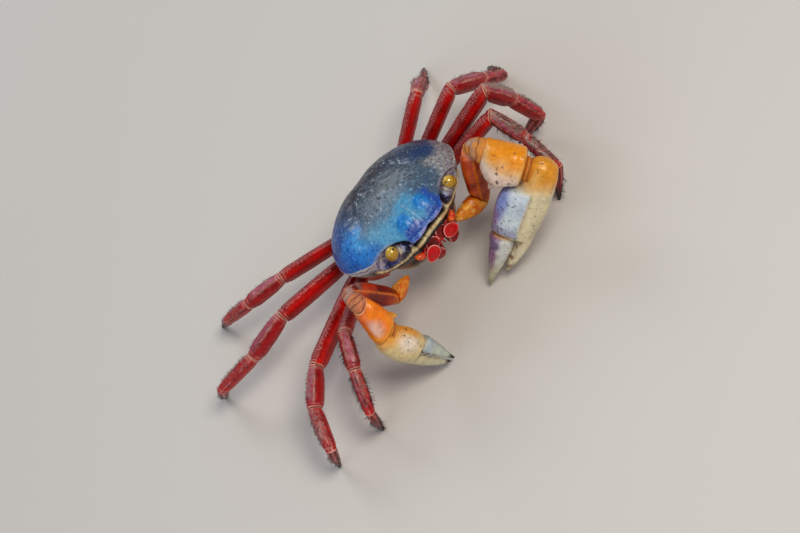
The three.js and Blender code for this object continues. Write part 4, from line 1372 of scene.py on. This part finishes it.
def wrinkle(plate, period, seed):
    """Fine transverse wrinkles, -1 to 1, that fork and waver."""
    phase = plate.s / period + 0.55 * plate.mottle(2.0, seed) + 0.25 * plate.mottle(0.9, seed + 1)
    return np.sin(2 * math.pi * phase + 0.02 * plate.angle)


def arm_base(plate, sign):
    """Yellow-orange with granular ridges."""
    seed = ARM_SEED + sign
    ridge = plate.strip(60, 10) + plate.strip(120, 10)
    beads = 0.55 + 0.45 * np.sin(2 * math.pi * plate.s / 1.4)
    teeth(plate, plate.s, np.arange(1.2, plate.length - 0.6, 1.5), 90, 0.6, 0.5)
    plate.push(0.3 * ridge * beads + 0.22 * plate.mottle(1.5, seed) + 0.1 * plate.mottle(0.7, seed + 1))
    return coats("#d96a10",
        ("#f0a830", 0.5 + 0.9 * plate.mottle(1.9, seed)),
        ("#f4d290", 0.7 * ease(plate.mottle(1.1, seed + 4), 0.3, 0.6) * ease(plate.top, -0.3, 0.4)),
        ("#a3400f", 0.6 * ease(-plate.top, 0.3, 0.9)),
    )


def arm_merus(plate, sign):
    """Deep red-orange, smooth and glossy between beaded margins."""
    seed = ARM_SEED + sign
    margin = plate.strip(35, 7) + plate.strip(145, 7)
    beads = 0.55 + 0.45 * np.sin(2 * math.pi * plate.s / 0.95 + 2 * plate.mottle(2.0, seed + 1))
    lines = wrinkle(plate, 1.3, seed) * ease(plate.top, 0.6, 0.9)
    plate.push(0.22 * margin * beads + 0.08 * lines + 0.08 * plate.mottle(2.4, seed)
               - 0.2 * hill(plate.rest, 2.2, 0.5))
    dark, bright = MERUS_TONES[sign]
    knee = ease(plate.t, 0.8, 0.95) * ease(plate.top, -0.3, 0.5)
    return coats(dark,
        (bright, 0.45 + 0.8 * plate.mottle(4.5, seed)),
        ("#e8801a", 0.9 * margin + 0.6 * fall(plate.t, 0.02, 0.2)),
        ("#4a0a04", 0.45 * ease(plate.mottle(1.4, seed + 8), 0.1, 0.7)),
        ("#b3a79f", 0.45 * knee * ease(plate.mottle(2.2, seed + 3), -0.3, 0.3)),
    )


ARM_LOOKS = {"base": (arm_base, "claw_arm_orange"), "merus": (arm_merus, "leg_red")}
print("arm segments:", list(ARM_LOOKS))

# %% [markdown]
# A carpus is a smooth bulging plate with a raised lip where the palm begins. The big one is amber
# and pinkish white. The small one is vivid orange with a painted pink-white highlight and a wrinkled
# collar, whose folds are painted darker in their valleys as shade.

# %% The two carpi
def big_carpus(plate, claw):
    """Amber on top, pinkish white towards the spine, with purple spots."""
    a, _, outer = claw_places(plate, claw)
    cloud = plate.mottle(5, 61)
    lip = hill(plate.rest, 1.2, 0.7) - 0.7 * hill(plate.rest, 2.6, 0.5)
    spots = ease(plate.mottle(2.1, 63), 0.54, 0.68) * ease(outer, 0.2, 0.6)
    plate.push(0.35 * lip + 0.08 * cloud + 0.03 * plate.mottle(0.9, 62) - 0.15 * spots
               - 0.3 * hill(plate.s, 2.0, 0.5))
    pale = ease(a + 2.5 * cloud, -9, 1.5) * ease(outer + 0.3, 0, 0.6)
    return coats("#f29a06",
        ("#f2c486", pale),
        ("#efd8c8", 0.85 * pale * ease(a + cloud, -3.5, 3.5)),
        ("#dd8418", 0.6 * ease(-outer, 0.1, 0.7)),
        ("#ecb45a", 0.8 * hill(plate.rest, 0.9, 0.8)),
        ("#c9a47c", 0.8 * fall(plate.s, 0.6, 1.6)),
        ("#5a3346", 0.85 * spots),
    )


def small_carpus(plate, claw):
    """Vivid orange, a painted pink-white highlight in the middle, painted shade in the collar's folds."""
    _, d, outer = claw_places(plate, claw)
    cloud = plate.mottle(4, 71)
    lip = hill(plate.rest, 1.0, 0.6) - 0.7 * hill(plate.rest, 2.2, 0.5)
    folds = np.sin(2 * math.pi * (plate.s / 1.05 + 0.35 * plate.mottle(3, 75)))
    collar = folds * ease(plate.s, 0.3, 0.9) * fall(plate.s, 2.4, 3.4)
    plate.push(0.3 * lip + 0.06 * cloud + 0.03 * plate.mottle(0.9, 72) + 0.16 * collar)
    painted_highlight = hill(plate.t, 0.55, 0.24) * hill(d, 0.5, 4.5) * ease(outer, 0.1, 0.7)
    fold_paint = blend("#b0532a", "#e8b48c", ease(folds + 0.6 * plate.mottle(1.0, 76), -0.7, 0.9))
    return coats("#f06404",
        ("#fa9a14", 0.4 + 0.5 * cloud + 0.4 * ease(plate.t, 0.4, 0.9)),
        # painted highlight: pink-white in the middle, with a softer glow round it
        ("#ecd0c0", 0.9 * ease(painted_highlight + 0.15 * cloud, 0.25, 0.85)),
        ("#e9a68c", 0.55 * ease(painted_highlight, 0.08, 0.4)),
        # painted shade: the collar's folds are darker in their valleys
        (fold_paint, 0.85 * fall(plate.s + 0.6 * cloud, 2.2, 3.2)),
        ("#f0b348", 0.8 * hill(plate.rest, 0.8, 0.8)),
        ("#8a3a10", 0.8 * specks(plate.grid, 1.4, 0.25, 74)),
    )


# look, where the rings' crest and the spine point, the spine's place as a share of the length
# and its slant along and over the claw
CARPUS_LOOKS = {"left": (big_carpus, "along", 0.49, (0.95, 0.3)),
                "right": (small_carpus, "over", 0.98, (0.8, 0.35))}
print("carpi:", [look[0].__name__ for look in CARPUS_LOOKS.values()])

# %% [markdown]
# The solids have a blunt spine that stands out as single points of their rings. It is smoothed
# away first and a sharp one is drawn out of the fine grid, where there are points enough.

# %% Spines, wrists and the arms put together
STANDS_OUT = 3.2  # times the usual distance from its neighbours at which a point is the spine's


def without_spine(rings):
    """Rings with the solid's own blunt spine smoothed away."""
    between = (np.roll(rings, 1, 1) + np.roll(rings, -1, 1)) / 2
    far = np.linalg.norm(rings - between, axis=2)
    usual = np.median(far, axis=1, keepdims=True)
    smooth = between + (rings - between) * (usual / far)[..., None]
    return np.where((far > STANDS_OUT * usual)[..., None], smooth, rings)


def spine(plate, at, way, height, width):
    """A sharp spine drawn out of a plate's edge along a direction, at a share of its length."""
    away = np.hypot((plate.t - at) * plate.length, np.radians(plate.from_top()) * plate.radius)
    plate.grid = plate.grid + way * (height * np.clip(1 - away / width, 0, 1) ** 1.3)[..., None]


def wrist_hide(name, plate, ring):
    """The fold of hide that leads from a carpus into its palm."""
    share = np.linspace(0, 1, 13)[:, None, None]
    middle = ring.mean(0)
    fold = np.cos(4 * math.pi * share)
    rows = middle + (ring - middle) * (0.88 + 0.04 * fold) + plate.axis * (4.6 * share - 1)
    # painted shade: the fold is darker in its valleys
    paint = blend("#d48c30", "#a9601c", 0.5 - 0.5 * fold[..., 0])
    return piece(name, grid_mesh(name, rows, paint), HIDE_PAINT, "claw_amber")


# tone of the rolls, darker tone between them as painted shade in the creases, and how many there are
ELBOW_TONES = {"left": ("#dd9446", "#8f4a1e", 4), "right": ("#cf8258", "#7c3c22", 7)}
SPINE_HEIGHT, SPINE_WIDTH = 4.6, 3.0
for name, sign in SIDES.items():
    *arm_rings, carpus_rings = limb_rings(f"claw_{name}", (*ARM_LOOKS, "carpus"))
    before = None
    for part, rings, lift in zip(ARM_LOOKS, arm_rings, carried(arm_rings, sign)):
        label = f"claw_{name}_{part}"
        look, slot = ARM_LOOKS[part]
        plate = Plate(rings, lift, 0.4, 64)
        paint = look(plate, sign)
        plate.cup_ends(start=0 if part == "base" else CUP_DEPTH)
        plate_piece(label, plate, paint, CLAW_PAINT, slot)
        if before is not None:
            bellows(f"{label}_joint", before, plate, slot, "#c0662a", "#8a3612")
        before = plate
    label, claw = f"claw_{name}_carpus", CLAWS[name]
    look, crest, spine_at, (ahead, aside) = CARPUS_LOOKS[name]
    plate = Plate(without_spine(carpus_rings), claw[crest], 0.3, 120, 0.04)
    paint = look(plate, claw)
    wrist_ring = plate.grid[-1]
    slant = claw["along"] * ahead + claw["over"] * aside
    spine(plate, spine_at, slant, SPINE_HEIGHT, SPINE_WIDTH)
    plate.cup_ends(lip=0.9, inset=0.05, start=-1.8)
    plate_piece(label, plate, paint, CLAW_PAINT, "claw_amber")
    elbow(f"{label}_joint", before, plate, "claw_amber", *ELBOW_TONES[name])
    wrist_hide(f"claw_{name}_wrist_joint", plate, wrist_ring)
print("claw pieces:", [o.name for o in PIECES if o.name.startswith("claw")])

# %% [markdown]
# ## Eyes
# The corneas are glossy ochre beads on short stalks, each lying in its orbit with a dark spot
# towards the front, painted darker below and lighter on top as shade and light. Cast resin with a
# polished clear coat has no grain, so these two pieces get a material of their own. The stalk's foot
# is deep blue and it turns beige to the eye.

# %% Eyestalks and corneas
CORNEA_PAINT = plate_paint("polished_amber_resin", 0.12, 2.0, 0.004, "#5a3a10", 0.8, 0.15, coat=1.0)
FACE_PAINT = plate_paint("satin_face_resin", 0.42, 0.5, 0.04, "#241326", 0.7, 0.35, coat=0.2)
POLE_HOLE = 0.03  # radians from a bead's pole to its first ring


def circle(first, second, sides):
    """Points round a circle or ellipse with two half axes."""
    turn = np.linspace(0, 2 * math.pi, sides, endpoint=False)[None, :, None]
    return first * np.cos(turn) + second * np.sin(turn)


def ball_grid(middle, axes, halves, rows=40, sides=56):
    """A grid over an ellipsoid whose poles lie on its first axis."""
    turn = np.linspace(POLE_HOLE, math.pi - POLE_HOLE, rows)[:, None, None]
    first, second, third = (np.asarray(axis, float) * half for axis, half in zip(axes, halves))
    ring = circle(second, third, sides)
    return middle - first * np.cos(turn) + ring * np.sin(turn)


LEFTWARD, FORWARD, UPWARD = pitched(np.eye(3))
EYE_HALF_LENGTH, EYE_MIDDLE = 3.35, 2.75  # mm, the second from the solid's first ring
PROUD = 1.02  # the bead stands this much wider than its solid
for name, sign in SIDES.items():
    rings = solid_rings(f"eyestalk_{name}", BODY)
    plate = Plate(rings, UPWARD, 0.12, 48, 0.0)
    facing = grid_normals(plate.grid) @ FORWARD
    cloud = plate.mottle(1.2, 82)
    plate.push(0.14 * plate.mottle(1.1, 81) + 0.15 * hill(plate.t, 0.9, 0.08) * ease(facing, -0.8, 0.2))
    paint = coats("#c9bba2",
        ("#8c86a0", 0.4 + 0.8 * cloud),
        ("#7f9fd0", 0.7 * hill(plate.t + 0.2 * cloud, 0.45, 0.12)),
        ("#1f2458", fall(plate.t + 0.3 * cloud, 0.15, 0.45)),
    )
    plate_piece(f"eyestalk_{name}", plate, paint, FACE_PAINT, "eyestalk_beige")

    rings = solid_rings(f"eye_{name}", middle_of(f"eyestalk_{name}"))
    axis = unit(rings[-1].mean(0) - rings[0].mean(0))
    tall = unit(UPWARD - axis * (UPWARD @ axis))
    thick = np.cross(axis, tall)
    broad = rings[2] - rings[2].mean(0)
    halves = [EYE_HALF_LENGTH, *(np.abs(broad @ way).max() * PROUD for way in (tall, thick))]
    middle = rings[0].mean(0) + axis * EYE_MIDDLE
    grid = ball_grid(middle, (axis, tall, thick), halves)
    normal = grid_normals(grid)
    along_eye = ((grid - middle) @ axis) / EYE_HALF_LENGTH
    spot_way = unit(0.5 * FORWARD + 0.75 * UPWARD - 0.5 * axis)
    spot = ease(normal @ spot_way + 0.02 * mottle(grid, 0.7, 84), 0.975, 0.992)
    paint = coats("#b98d1e",
        # painted shade on the underside and painted light on the top of the cornea
        ("#7d5a12", ease(-(normal @ UPWARD), -0.2, 0.8)),
        ("#d9b948", 0.7 * ease(normal @ UPWARD, 0.1, 0.9)),
        ("#cfcdb8", 0.85 * fall(along_eye, -0.95, -0.6)),
        ("#5e3a10", 0.6 * ease(mottle(grid, 1.0, 85), 0.4, 0.8)),
        ("#140c08", spot),
    )
    eye_mesh = grid_mesh(f"cornea_{name}", grid, paint)
    piece(f"cornea_{name}", eye_mesh, CORNEA_PAINT, "cornea_yellow", f"eye_{name}")
print("eyes:", [o.name for o in PIECES[-4:]])

# %% [markdown]
# ## Feelers and the space between the eyes
# Folded antennules and the stout feet of the antennae fill the gap between lip and ridge. The
# feelers of a land crab are short: a whip of about eight millimetres lies along each orbit.

# %% Feelers
ROD_STEP = 0.25
SKEW = (0.3, 0.5, 0.81)  # a direction that no rod runs along


def rod(points, radii, sides=14):
    """A tapering round rod through points, in mm."""
    points = np.asarray(points, float)
    gaps = np.concatenate([[0], np.cumsum(np.linalg.norm(np.diff(points, axis=0), axis=1))])
    at = np.linspace(0, gaps[-1], max(6, int(gaps[-1] / ROD_STEP)))
    line = flow(points, gaps, at)
    size = np.interp(at, gaps, radii)
    ahead = unit(np.gradient(line, axis=0))
    across = unit(np.cross(ahead, SKEW))
    over = np.cross(ahead, across)
    return line[:, None] + circle(across[:, None], over[:, None], sides) * size[:, None, None]


# level points [left, forward, up], radii and tone of each part on the left side
FEELERS = {
    "antennule_foot": ([(3.0, 27.2, -1.2), (5.6, 28.0, -1.6), (8.2, 28.0, -1.9)],
                       (1.1, 1.5, 1.2), "#5a4668"),
    "antennule": ([(5.8, 28.6, -0.9), (4.6, 29.4, -2.3), (6.8, 29.6, -2.7), (8.6, 28.8, -2.0)],
                  (0.75, 0.62, 0.42, 0.2), "#8a7290"),
    "antenna_foot": ([(9.6, 27.4, -1.4), (11.6, 28.4, -1.5), (13.4, 28.8, -1.1)],
                     (1.0, 1.25, 0.85), "#a69ab4"),
    "antenna_whip": ([(13.2, 28.9, -0.9), (15.6, 30.2, -0.8), (18.4, 30.0, -2.2), (20.6, 28.8, -3.6)],
                     (0.4, 0.3, 0.2, 0.1), "#3c2a3e"),
}
for name, sign in SIDES.items():
    for part, (points, radii, tone) in FEELERS.items():
        grid = rod(on_body(np.array(points) * [sign, 1, 1]), radii)
        paint = blend(tone, "#1a1030", ease(mottle(grid, 1.1, 91), -0.2, 0.5))
        grid = swell(grid, 0.1 * mottle(grid, 0.8, 92))
        piece(f"{part}_{name}", grid_mesh(f"{part}_{name}", grid, paint), FACE_PAINT, "eyestalk_beige")
print("feelers:", len(FEELERS) * 2)

# %% [markdown]
# ## Mouth plates
# The outer mouthparts gape like two doors. Each has a long plate that runs down beside the
# middle and an oval door above and outside it, blood red with a raised pale rim. Inside the gap
# the next pair shows as darker blades.

# %% Long outer plates
MOUTH_PAINT = plate_paint("gloss_red_mouth_resin", 0.28, 0.9, 0.02, "#7a0a0a", 1.2, 0.2, coat=0.3)
for name in SIDES:
    plate = Plate(solid_rings(f"maxilliped_{name}", on_body([0, 30, -30])), FORWARD, 0.22, 64, 0.0)
    aside = np.abs((plate.grid - plate.grid.mean(1, keepdims=True)) @ LEFTWARD)
    edge = hill(aside, plate.radius.max() * 0.62, 0.5) * ease(plate.top, 0.0, 0.4)
    seam = hill(plate.t, 0.52, 0.035)
    plate.push(0.3 * edge - 0.35 * seam * ease(plate.top, -0.2, 0.3) + 0.05 * plate.mottle(1.5, 95))
    paint = coats("#b00806",
        ("#7c0506", 0.5 + 0.6 * plate.mottle(3, 96)),
        ("#e59a92", 0.85 * ease(edge, 0.45, 0.85)),
        # a dark seam, and painted shade on the face turned back into the mouth
        ("#2a0606", 0.8 * seam + 0.9 * ease(-plate.top, 0.0, 0.6)),
    )
    plate.cup_ends(lip=1.6, inset=0.3, start=-0.6, end=-0.6)
    plate_piece(f"maxilliped_{name}", plate, paint, MOUTH_PAINT, "mouth_red")
print("long plates:", [o.name for o in PIECES[-2:]])

# %% [markdown]
# The doors and the arches behind them are flattened ellipsoids with a raised rim and a hollow
# face. The blades and the swollen corners of the mouth are rods, as the feelers are.

# %% Doors, arches, blades and corners
# level middles [left, forward, up], half sizes [thick, long, broad] and two tones, left side
MOUTH_PLATES = {
    "mouth_door": ((7.2, 31.2, -12.9), (1.2, 4.5, 3.3), "#d40808", "#a00606"),
    "mouth_arch": ((3.7, 30.2, -10.0), (1.2, 3.9, 3.3), "#8c0606", "#3c0405"),
}
# level points, radii and two tones of the rods, left side
MOUTH_RODS = {
    "inner_mouthpart": ([(0.6, 30.4, -7.2), (0.75, 31.3, -9.5), (0.9, 31.4, -12.5), (1.1, 30.6, -15.2)],
                        (0.35, 0.6, 0.55, 0.25), "#c41412", "#8c0a08"),
    "mouth_corner": ([(10.2, 29.2, -10.4), (11.6, 31.0, -9.0), (13.4, 30.8, -7.6), (14.2, 29.4, -7.0)],
                     (0.9, 1.9, 1.5, 0.5), "#c8200a", "#ee7426"),
}
# the plates close a little to the right of the middle
MOUTH_SHIFT = np.array([-1.2, 0, 0])

for name, sign in SIDES.items():
    mirror = np.array([sign, 1, 1])
    out = unit(pitched([0.2 * sign, 0.95, 0.12]))
    long = pitched([0.88 * sign, 0.0, -0.48])
    long = unit(long - out * (out @ long))
    axes = np.array([out, long, np.cross(out, long)])
    for label, (middle, half, bright, shade) in MOUTH_PLATES.items():
        middle = on_body(np.array(middle) * mirror + MOUTH_SHIFT)
        grid = ball_grid(middle, axes, half, 72, 84)
        place = (grid - middle) @ axes.T / half
        narrow = -0.2 * place[..., 1] + 0.06 * mottle(grid, 3.0, 90)
        grid = grid + axes[2] * (half[2] * place[..., 2] * narrow)[..., None]
        away = np.hypot(place[..., 1], place[..., 2])
        front = ease(place[..., 0], -0.05, 0.2)
        rim = hill(away, 0.95, 0.06) * front
        hollow = front * fall(away, 0.7, 0.92)
        grid = swell(grid, 0.25 * rim - 0.4 * hollow + 0.06 * mottle(grid, 1.3, 94))
        paint = coats(bright,
            (shade, 0.3 + 0.5 * mottle(grid, 2.2, 97)),
            ("#f2a79c", 0.95 * ease(rim, 0.5, 0.85)),
            # painted shade on the back of each plate, turned into the mouth
            ("#7a0808", 0.7 * ease(-place[..., 0], 0.1, 0.6)),
        )
        piece(f"{label}_{name}", grid_mesh(f"{label}_{name}", grid, paint), MOUTH_PAINT, "mouth_red")

    for label, (points, radii, bright, shade) in MOUTH_RODS.items():
        grid = rod(on_body(np.array(points) * mirror + MOUTH_SHIFT), radii, 20)
        grid = swell(grid, 0.08 * mottle(grid, 1.2, 93))
        paint = blend(bright, shade, 0.5 + 0.7 * mottle(grid, 1.5, 98))
        piece(f"{label}_{name}", grid_mesh(f"{label}_{name}", grid, paint), MOUTH_PAINT, "mouth_red")
print("mouth pieces:", sum("mouth" in o.name or "maxilliped" in o.name for o in PIECES))

# %% [markdown]
# ## Underside
# The breastplate is cream, parted by slanting seams at each pair of legs, and painted dark towards
# the mouth for black setae and shade. The narrow tail of a male folds forward under it, six somites long.

# %% Breastplate
LEG_SEAMS = (14, 8, 1, -6, -13)  # mm forward of the body's middle
BELLY_PAINT = plate_paint("satin_cream_resin", 0.48, 0.8, 0.05, "#7a5a48", 1.2, 0.3, coat=0.1)
rings = solid_rings("thorax", BODY)
hub = rings[-1].mean(0)
# smaller and smaller rings close the flat end, so that the seams can cross it
flat = [hub + (rings[-1] - hub) * k for k in (0.85, 0.65, 0.45, 0.25, 0.1)]
plate = Plate(np.concatenate([rings, flat]), FORWARD, 0.3, 180, 0.0)
level = (plate.grid - BODY) @ np.array([LEFTWARD, FORWARD, UPWARD]).T
side, forward, up = np.moveaxis(level, -1, 0)
wide = np.abs(side)
seams = sum(hill(forward - 0.28 * (wide - 8), at, 0.55) for at in LEG_SEAMS) * ease(wide, 4, 7)
trough = ease(7.5 - wide, 0, 2) * ease(-forward, -14, -8)
below = ease(-up, 17, 22)
plate.push(-0.55 * seams * below - 0.6 * trough * below + 0.1 * plate.mottle(2.4, 101))
paint = coats("#d3c6a8",
    ("#b59d84", 0.5 + 0.5 * plate.mottle(5, 102)),
    ("#a8604a", 0.7 * (1 - below)),
    ("#6e4438", 0.75 * seams * below),
    # dark towards the mouth: black setae and painted shade
    ("#160d12", ease(forward + 1.5 * plate.mottle(3, 103), 12, 19) * ease(up, -23, -19)),
)
plate_piece("thorax", plate, paint, BELLY_PAINT, "shell_underside")
print("breastplate faces:", len(PIECES[-1].data.polygons))

# %% [markdown]
# Each somite of the tail swells a little between its two seams.

# %% Tail
SOMITE_SEAMS = (0.14, 0.27, 0.4, 0.54, 0.69, 0.84)  # shares of the tail's length
plate = Plate(solid_rings("abdomen", on_body([0, -30, -10])), -UPWARD, 0.3, 72, 0.0)
somites = sum(hill(plate.t, at, 0.008) for at in SOMITE_SEAMS)
plate.push(-0.35 * somites + 0.2 * np.sin(math.pi * ((plate.t * 7) % 1)) + 0.06 * plate.mottle(1.8, 104))
paint = coats("#cdb898",
    ("#b08a72", 0.5 + 0.6 * plate.mottle(4, 105)),
    ("#6a4034", 0.8 * somites),
)
plate.cup_ends(lip=1.2, inset=0.08, start=-0.6, end=-0.6)
plate_piece("abdomen", plate, paint, BELLY_PAINT, "shell_underside")
print("tail faces:", len(PIECES[-1].data.polygons))

# %% [markdown]
# ## Bristles
# Stiff dark bristles stand along the keels of the last three segments of each leg, thickest on
# the front pair, and a short pale down on the dusty crests of the two front left legs. One tree
# makes both. It scatters points where the skin's own `density` is high, stands a thin bent cone
# on each, leans it along `lie` and gives it a small patch of the OFBake unwrap at its root. The
# cone has five sides, as there are thousands of them.

# %% The bristle tree
# kind of socket and usual value of each input
BRISTLE_INPUTS = {
    "Per Square Metre": ("Float", 3.4e6), "Length": ("Float", 2.1 * MM),
    "Root Radius": ("Float", 0.09 * MM), "Bend": ("Float", 0.22), "Patch": ("Float", 0.003),
    "Seed": ("Int", 7), "Material": ("Material", None),
}
TIP_RADIUS = 0.02 * MM
STRAY = 0.35  # how far a bristle's direction may stray from lie
GROWN = (0.5, 1.15)  # least and greatest share of the full length
CARRIED = {"density": "FLOAT", "lie": "FLOAT_VECTOR", "own_uv": "FLOAT_VECTOR", "root_uv": "FLOAT_VECTOR"}


def bristle_tree():
    """Scatters bent cones over a mesh. Gives the tree and its inputs' identifiers."""
    tree = bpy.data.node_groups.new("bristles_on_keels", "GeometryNodeTree")
    tree.interface.new_socket("Skin", in_out="INPUT", socket_type="NodeSocketGeometry")
    for name, (kind, _) in BRISTLE_INPUTS.items():
        tree.interface.new_socket(name, in_out="INPUT", socket_type=f"NodeSocket{kind}")
    tree.interface.new_socket("Bristles", in_out="OUTPUT", socket_type="NodeSocketGeometry")
    size = add(tree, "NodeGroupInput").outputs
    own = {name: add(tree, "GeometryNodeInputNamedAttribute", data_type=kind, Name=name)
           for name, kind in CARRIED.items()}

    many = add(tree, "ShaderNodeMath", operation="MULTIPLY", _0=own["density"],
               _1=size["Per Square Metre"])
    roots = add(tree, "GeometryNodeDistributePointsOnFaces", Mesh=size["Skin"], Density=many,
                Seed=size["Seed"])
    cone = add(tree, "GeometryNodeMeshCone", Vertices=5, Side_Segments=3, Radius_Top=TIP_RADIUS,
               Radius_Bottom=size["Root Radius"], Depth=size["Length"])
    mapped = add(tree, "GeometryNodeStoreNamedAttribute", data_type="FLOAT2", domain="CORNER",
                 Geometry=cone, Name="own_uv", Value=cone.outputs["UV Map"])
    position = add(tree, "GeometryNodeInputPosition")
    height = add(tree, "ShaderNodeSeparateXYZ", Vector=position).outputs["Z"]
    share = add(tree, "ShaderNodeMath", operation="DIVIDE", _0=height, _1=size["Length"])
    square = add(tree, "ShaderNodeMath", operation="MULTIPLY", _0=share, _1=height)
    aside = add(tree, "ShaderNodeMath", operation="MULTIPLY", _0=square, _1=size["Bend"])
    bent = add(tree, "GeometryNodeSetPosition", Geometry=mapped,
               Offset=add(tree, "ShaderNodeCombineXYZ", X=aside))

    stray = add(tree, "FunctionNodeRandomValue", data_type="FLOAT_VECTOR", _0=(-STRAY,) * 3,
                _1=(STRAY,) * 3, Seed=size["Seed"])
    lean = add(tree, "ShaderNodeVectorMath", operation="ADD", _0=own["lie"], _1=stray)
    turn = add(tree, "FunctionNodeAlignRotationToVector", axis="Z", Vector=lean)
    grown = add(tree, "FunctionNodeRandomValue", data_type="FLOAT", _2=GROWN[0], _3=GROWN[1],
                Seed=size["Seed"])
    stood = add(tree, "GeometryNodeInstanceOnPoints", Points=roots, Instance=bent, Rotation=turn,
                Scale=grown.outputs[1])
    real = add(tree, "GeometryNodeRealizeInstances", Geometry=stood)
    patch = add(tree, "ShaderNodeVectorMath", operation="SCALE", _0=own["own_uv"], Scale=size["Patch"])
    place = add(tree, "ShaderNodeVectorMath", operation="ADD", _0=own["root_uv"], _1=patch)
    bake = add(tree, "GeometryNodeStoreNamedAttribute", data_type="FLOAT2", domain="CORNER",
               Geometry=real, Name="OFBake", Value=place)
    dressed = add(tree, "GeometryNodeSetMaterial", Geometry=bake, Material=size["Material"])
    add(tree, "NodeGroupOutput", Bristles=dressed)
    return tree, {s.name: s.identifier for s in tree.interface.items_tree if s.in_out == "INPUT"}


BRISTLE_TREE, BRISTLE_IDS = bristle_tree()
print("bristle inputs:", list(BRISTLE_IDS))

# %% [markdown]
# The skin that carries them is one tube through the last three segments. Its density is highest
# on the keels and nothing at the joints, and `lie` leans half outwards and half to the tip. The
# material is nylon, as in a brush: satin, with an IOR of 1.53, and no pattern on hairs so thin.

# %% Bristle materials and the carrying skin
def bristle_look(name, tone):
    """A satin nylon of one tone."""
    return material(name, Base_Color=(*rgb(tone), 1), Roughness=0.45, IOR=1.53)[0]


DARK_BRISTLE = bristle_look("dark_nylon_bristle", "#2b1410")
PALE_BRISTLE = bristle_look("pale_nylon_bristle", "#b3a49a")
# how thick they stand on each segment, degrees round the limb and half the strip's width
STRIPS = {
    "carpus": ((0.35, 64, 10), (0.6, 122, 12), (0.5, 20, 14)),
    "propodus": ((1, 42, 9), (0.7, 90, 9), (1, 138, 9), (0.8, 15, 12)),
    "dactyl": ((0.8, 50, 14), (0.8, 130, 14), (0.5, 5, 14)),
}
DOWN = {"carpus": ((0.8, 96, 12), (1, 122, 16), (0.8, 150, 12)), "propodus": ((1, 98, 14), (1, 128, 16))}


def bristle_skin(name, segments):
    """The carrying tube of a leg, with density, lie and the root's place on an unwrap."""
    grids, density, lie = [], [], []
    for part, strips in segments.items():
        plate = LEGS[f"{name}_{part}"]
        grid = plate.grid[plate.cups[0] : len(plate.grid) - plate.cups[1]]
        inside = ease(plate.t, 0.06, 0.14) * fall(plate.t, 0.82, 0.92)
        grids.append(grid)
        density.append(inside * sum(k * plate.strip(angle, width) for k, angle, width in strips))
        lie.append(grid_normals(grid) * 0.75 + plate.axis * 0.7)
    grid = np.concatenate(grids)
    rows, sides = grid.shape[:2]
    across, down = np.meshgrid(np.arange(sides) / sides, np.linspace(0.002, 0.99, rows))
    floats = {"density": np.concatenate(density), "lie": np.concatenate(lie),
              "root_uv": np.stack([across, down, np.zeros((rows, sides))], -1)}
    return grid_mesh(f"{name}_skin", grid, floats=floats)


print("points that carry a leg's bristles:", len(bristle_skin("leg_left_1", STRIPS).vertices))

# %% [markdown]
# The tree is run on each skin by a modifier, whose inputs are set by identifier before the first
# evaluation. The result is kept as a plain mesh and the modifier is removed.

# %% Bristles and down of the legs
def grow_bristles(name, skin, changes):
    """Runs the tree on a skin and gives back a plain mesh."""
    holder = bpy.data.objects.new(f"{name}_skin", skin)
    SCENE.collection.objects.link(holder)
    growth = holder.modifiers.new("bristles", "NODES")
    growth.node_group = BRISTLE_TREE
    values = {key: value for key, (_, value) in BRISTLE_INPUTS.items()} | changes
    for key, value in values.items():
        growth[BRISTLE_IDS[key]] = value
    seen = bpy.context.evaluated_depsgraph_get()
    mesh = bpy.data.meshes.new_from_object(holder.evaluated_get(seen), depsgraph=seen)
    holder.modifiers.remove(growth)
    bpy.data.objects.remove(holder)
    for layer in ("own_uv", "root_uv", "lie", "density", "unwrap"):
        if layer in mesh.attributes:
            mesh.attributes.remove(mesh.attributes[layer])
    mesh.materials.clear()
    mesh.materials.append(values["Material"])
    mesh.polygons.foreach_set("material_index", np.zeros(len(mesh.polygons), dtype=int))
    return mesh


# share of the full density and length in mm, by the number of the leg from the front
BRISTLE_SIZES = {1: (1.0, 2.6), 2: (0.5, 1.7), 3: (0.5, 1.7), 4: (0.5, 1.7)}
for name in SIDES:
    for number, (amount, length) in BRISTLE_SIZES.items():
        label = f"leg_{name}_{number}"
        changes = {"Per Square Metre": 3.4e6 * amount, "Length": length * MM,
                   "Seed": 10 * number + len(name), "Material": DARK_BRISTLE}
        mesh = grow_bristles(label, bristle_skin(label, STRIPS), changes)
        piece(f"bristles_{name}_{number}", mesh, None, "leg_tip_dark")
        print(PIECES[-1].name, len(mesh.polygons), "faces, maps:", mesh.uv_layers.keys())
for number in (1, 2):
    label = f"leg_left_{number}"
    changes = {"Per Square Metre": 4.5e6, "Length": 1.5 * MM, "Root Radius": 0.06 * MM,
               "Seed": 70 + number, "Material": PALE_BRISTLE}
    mesh = grow_bristles(label, bristle_skin(label, DOWN), changes)
    piece(f"down_left_{number}", mesh, None, "leg_joint_pink")
    print(PIECES[-1].name, len(mesh.polygons), "faces")

# %% [markdown]
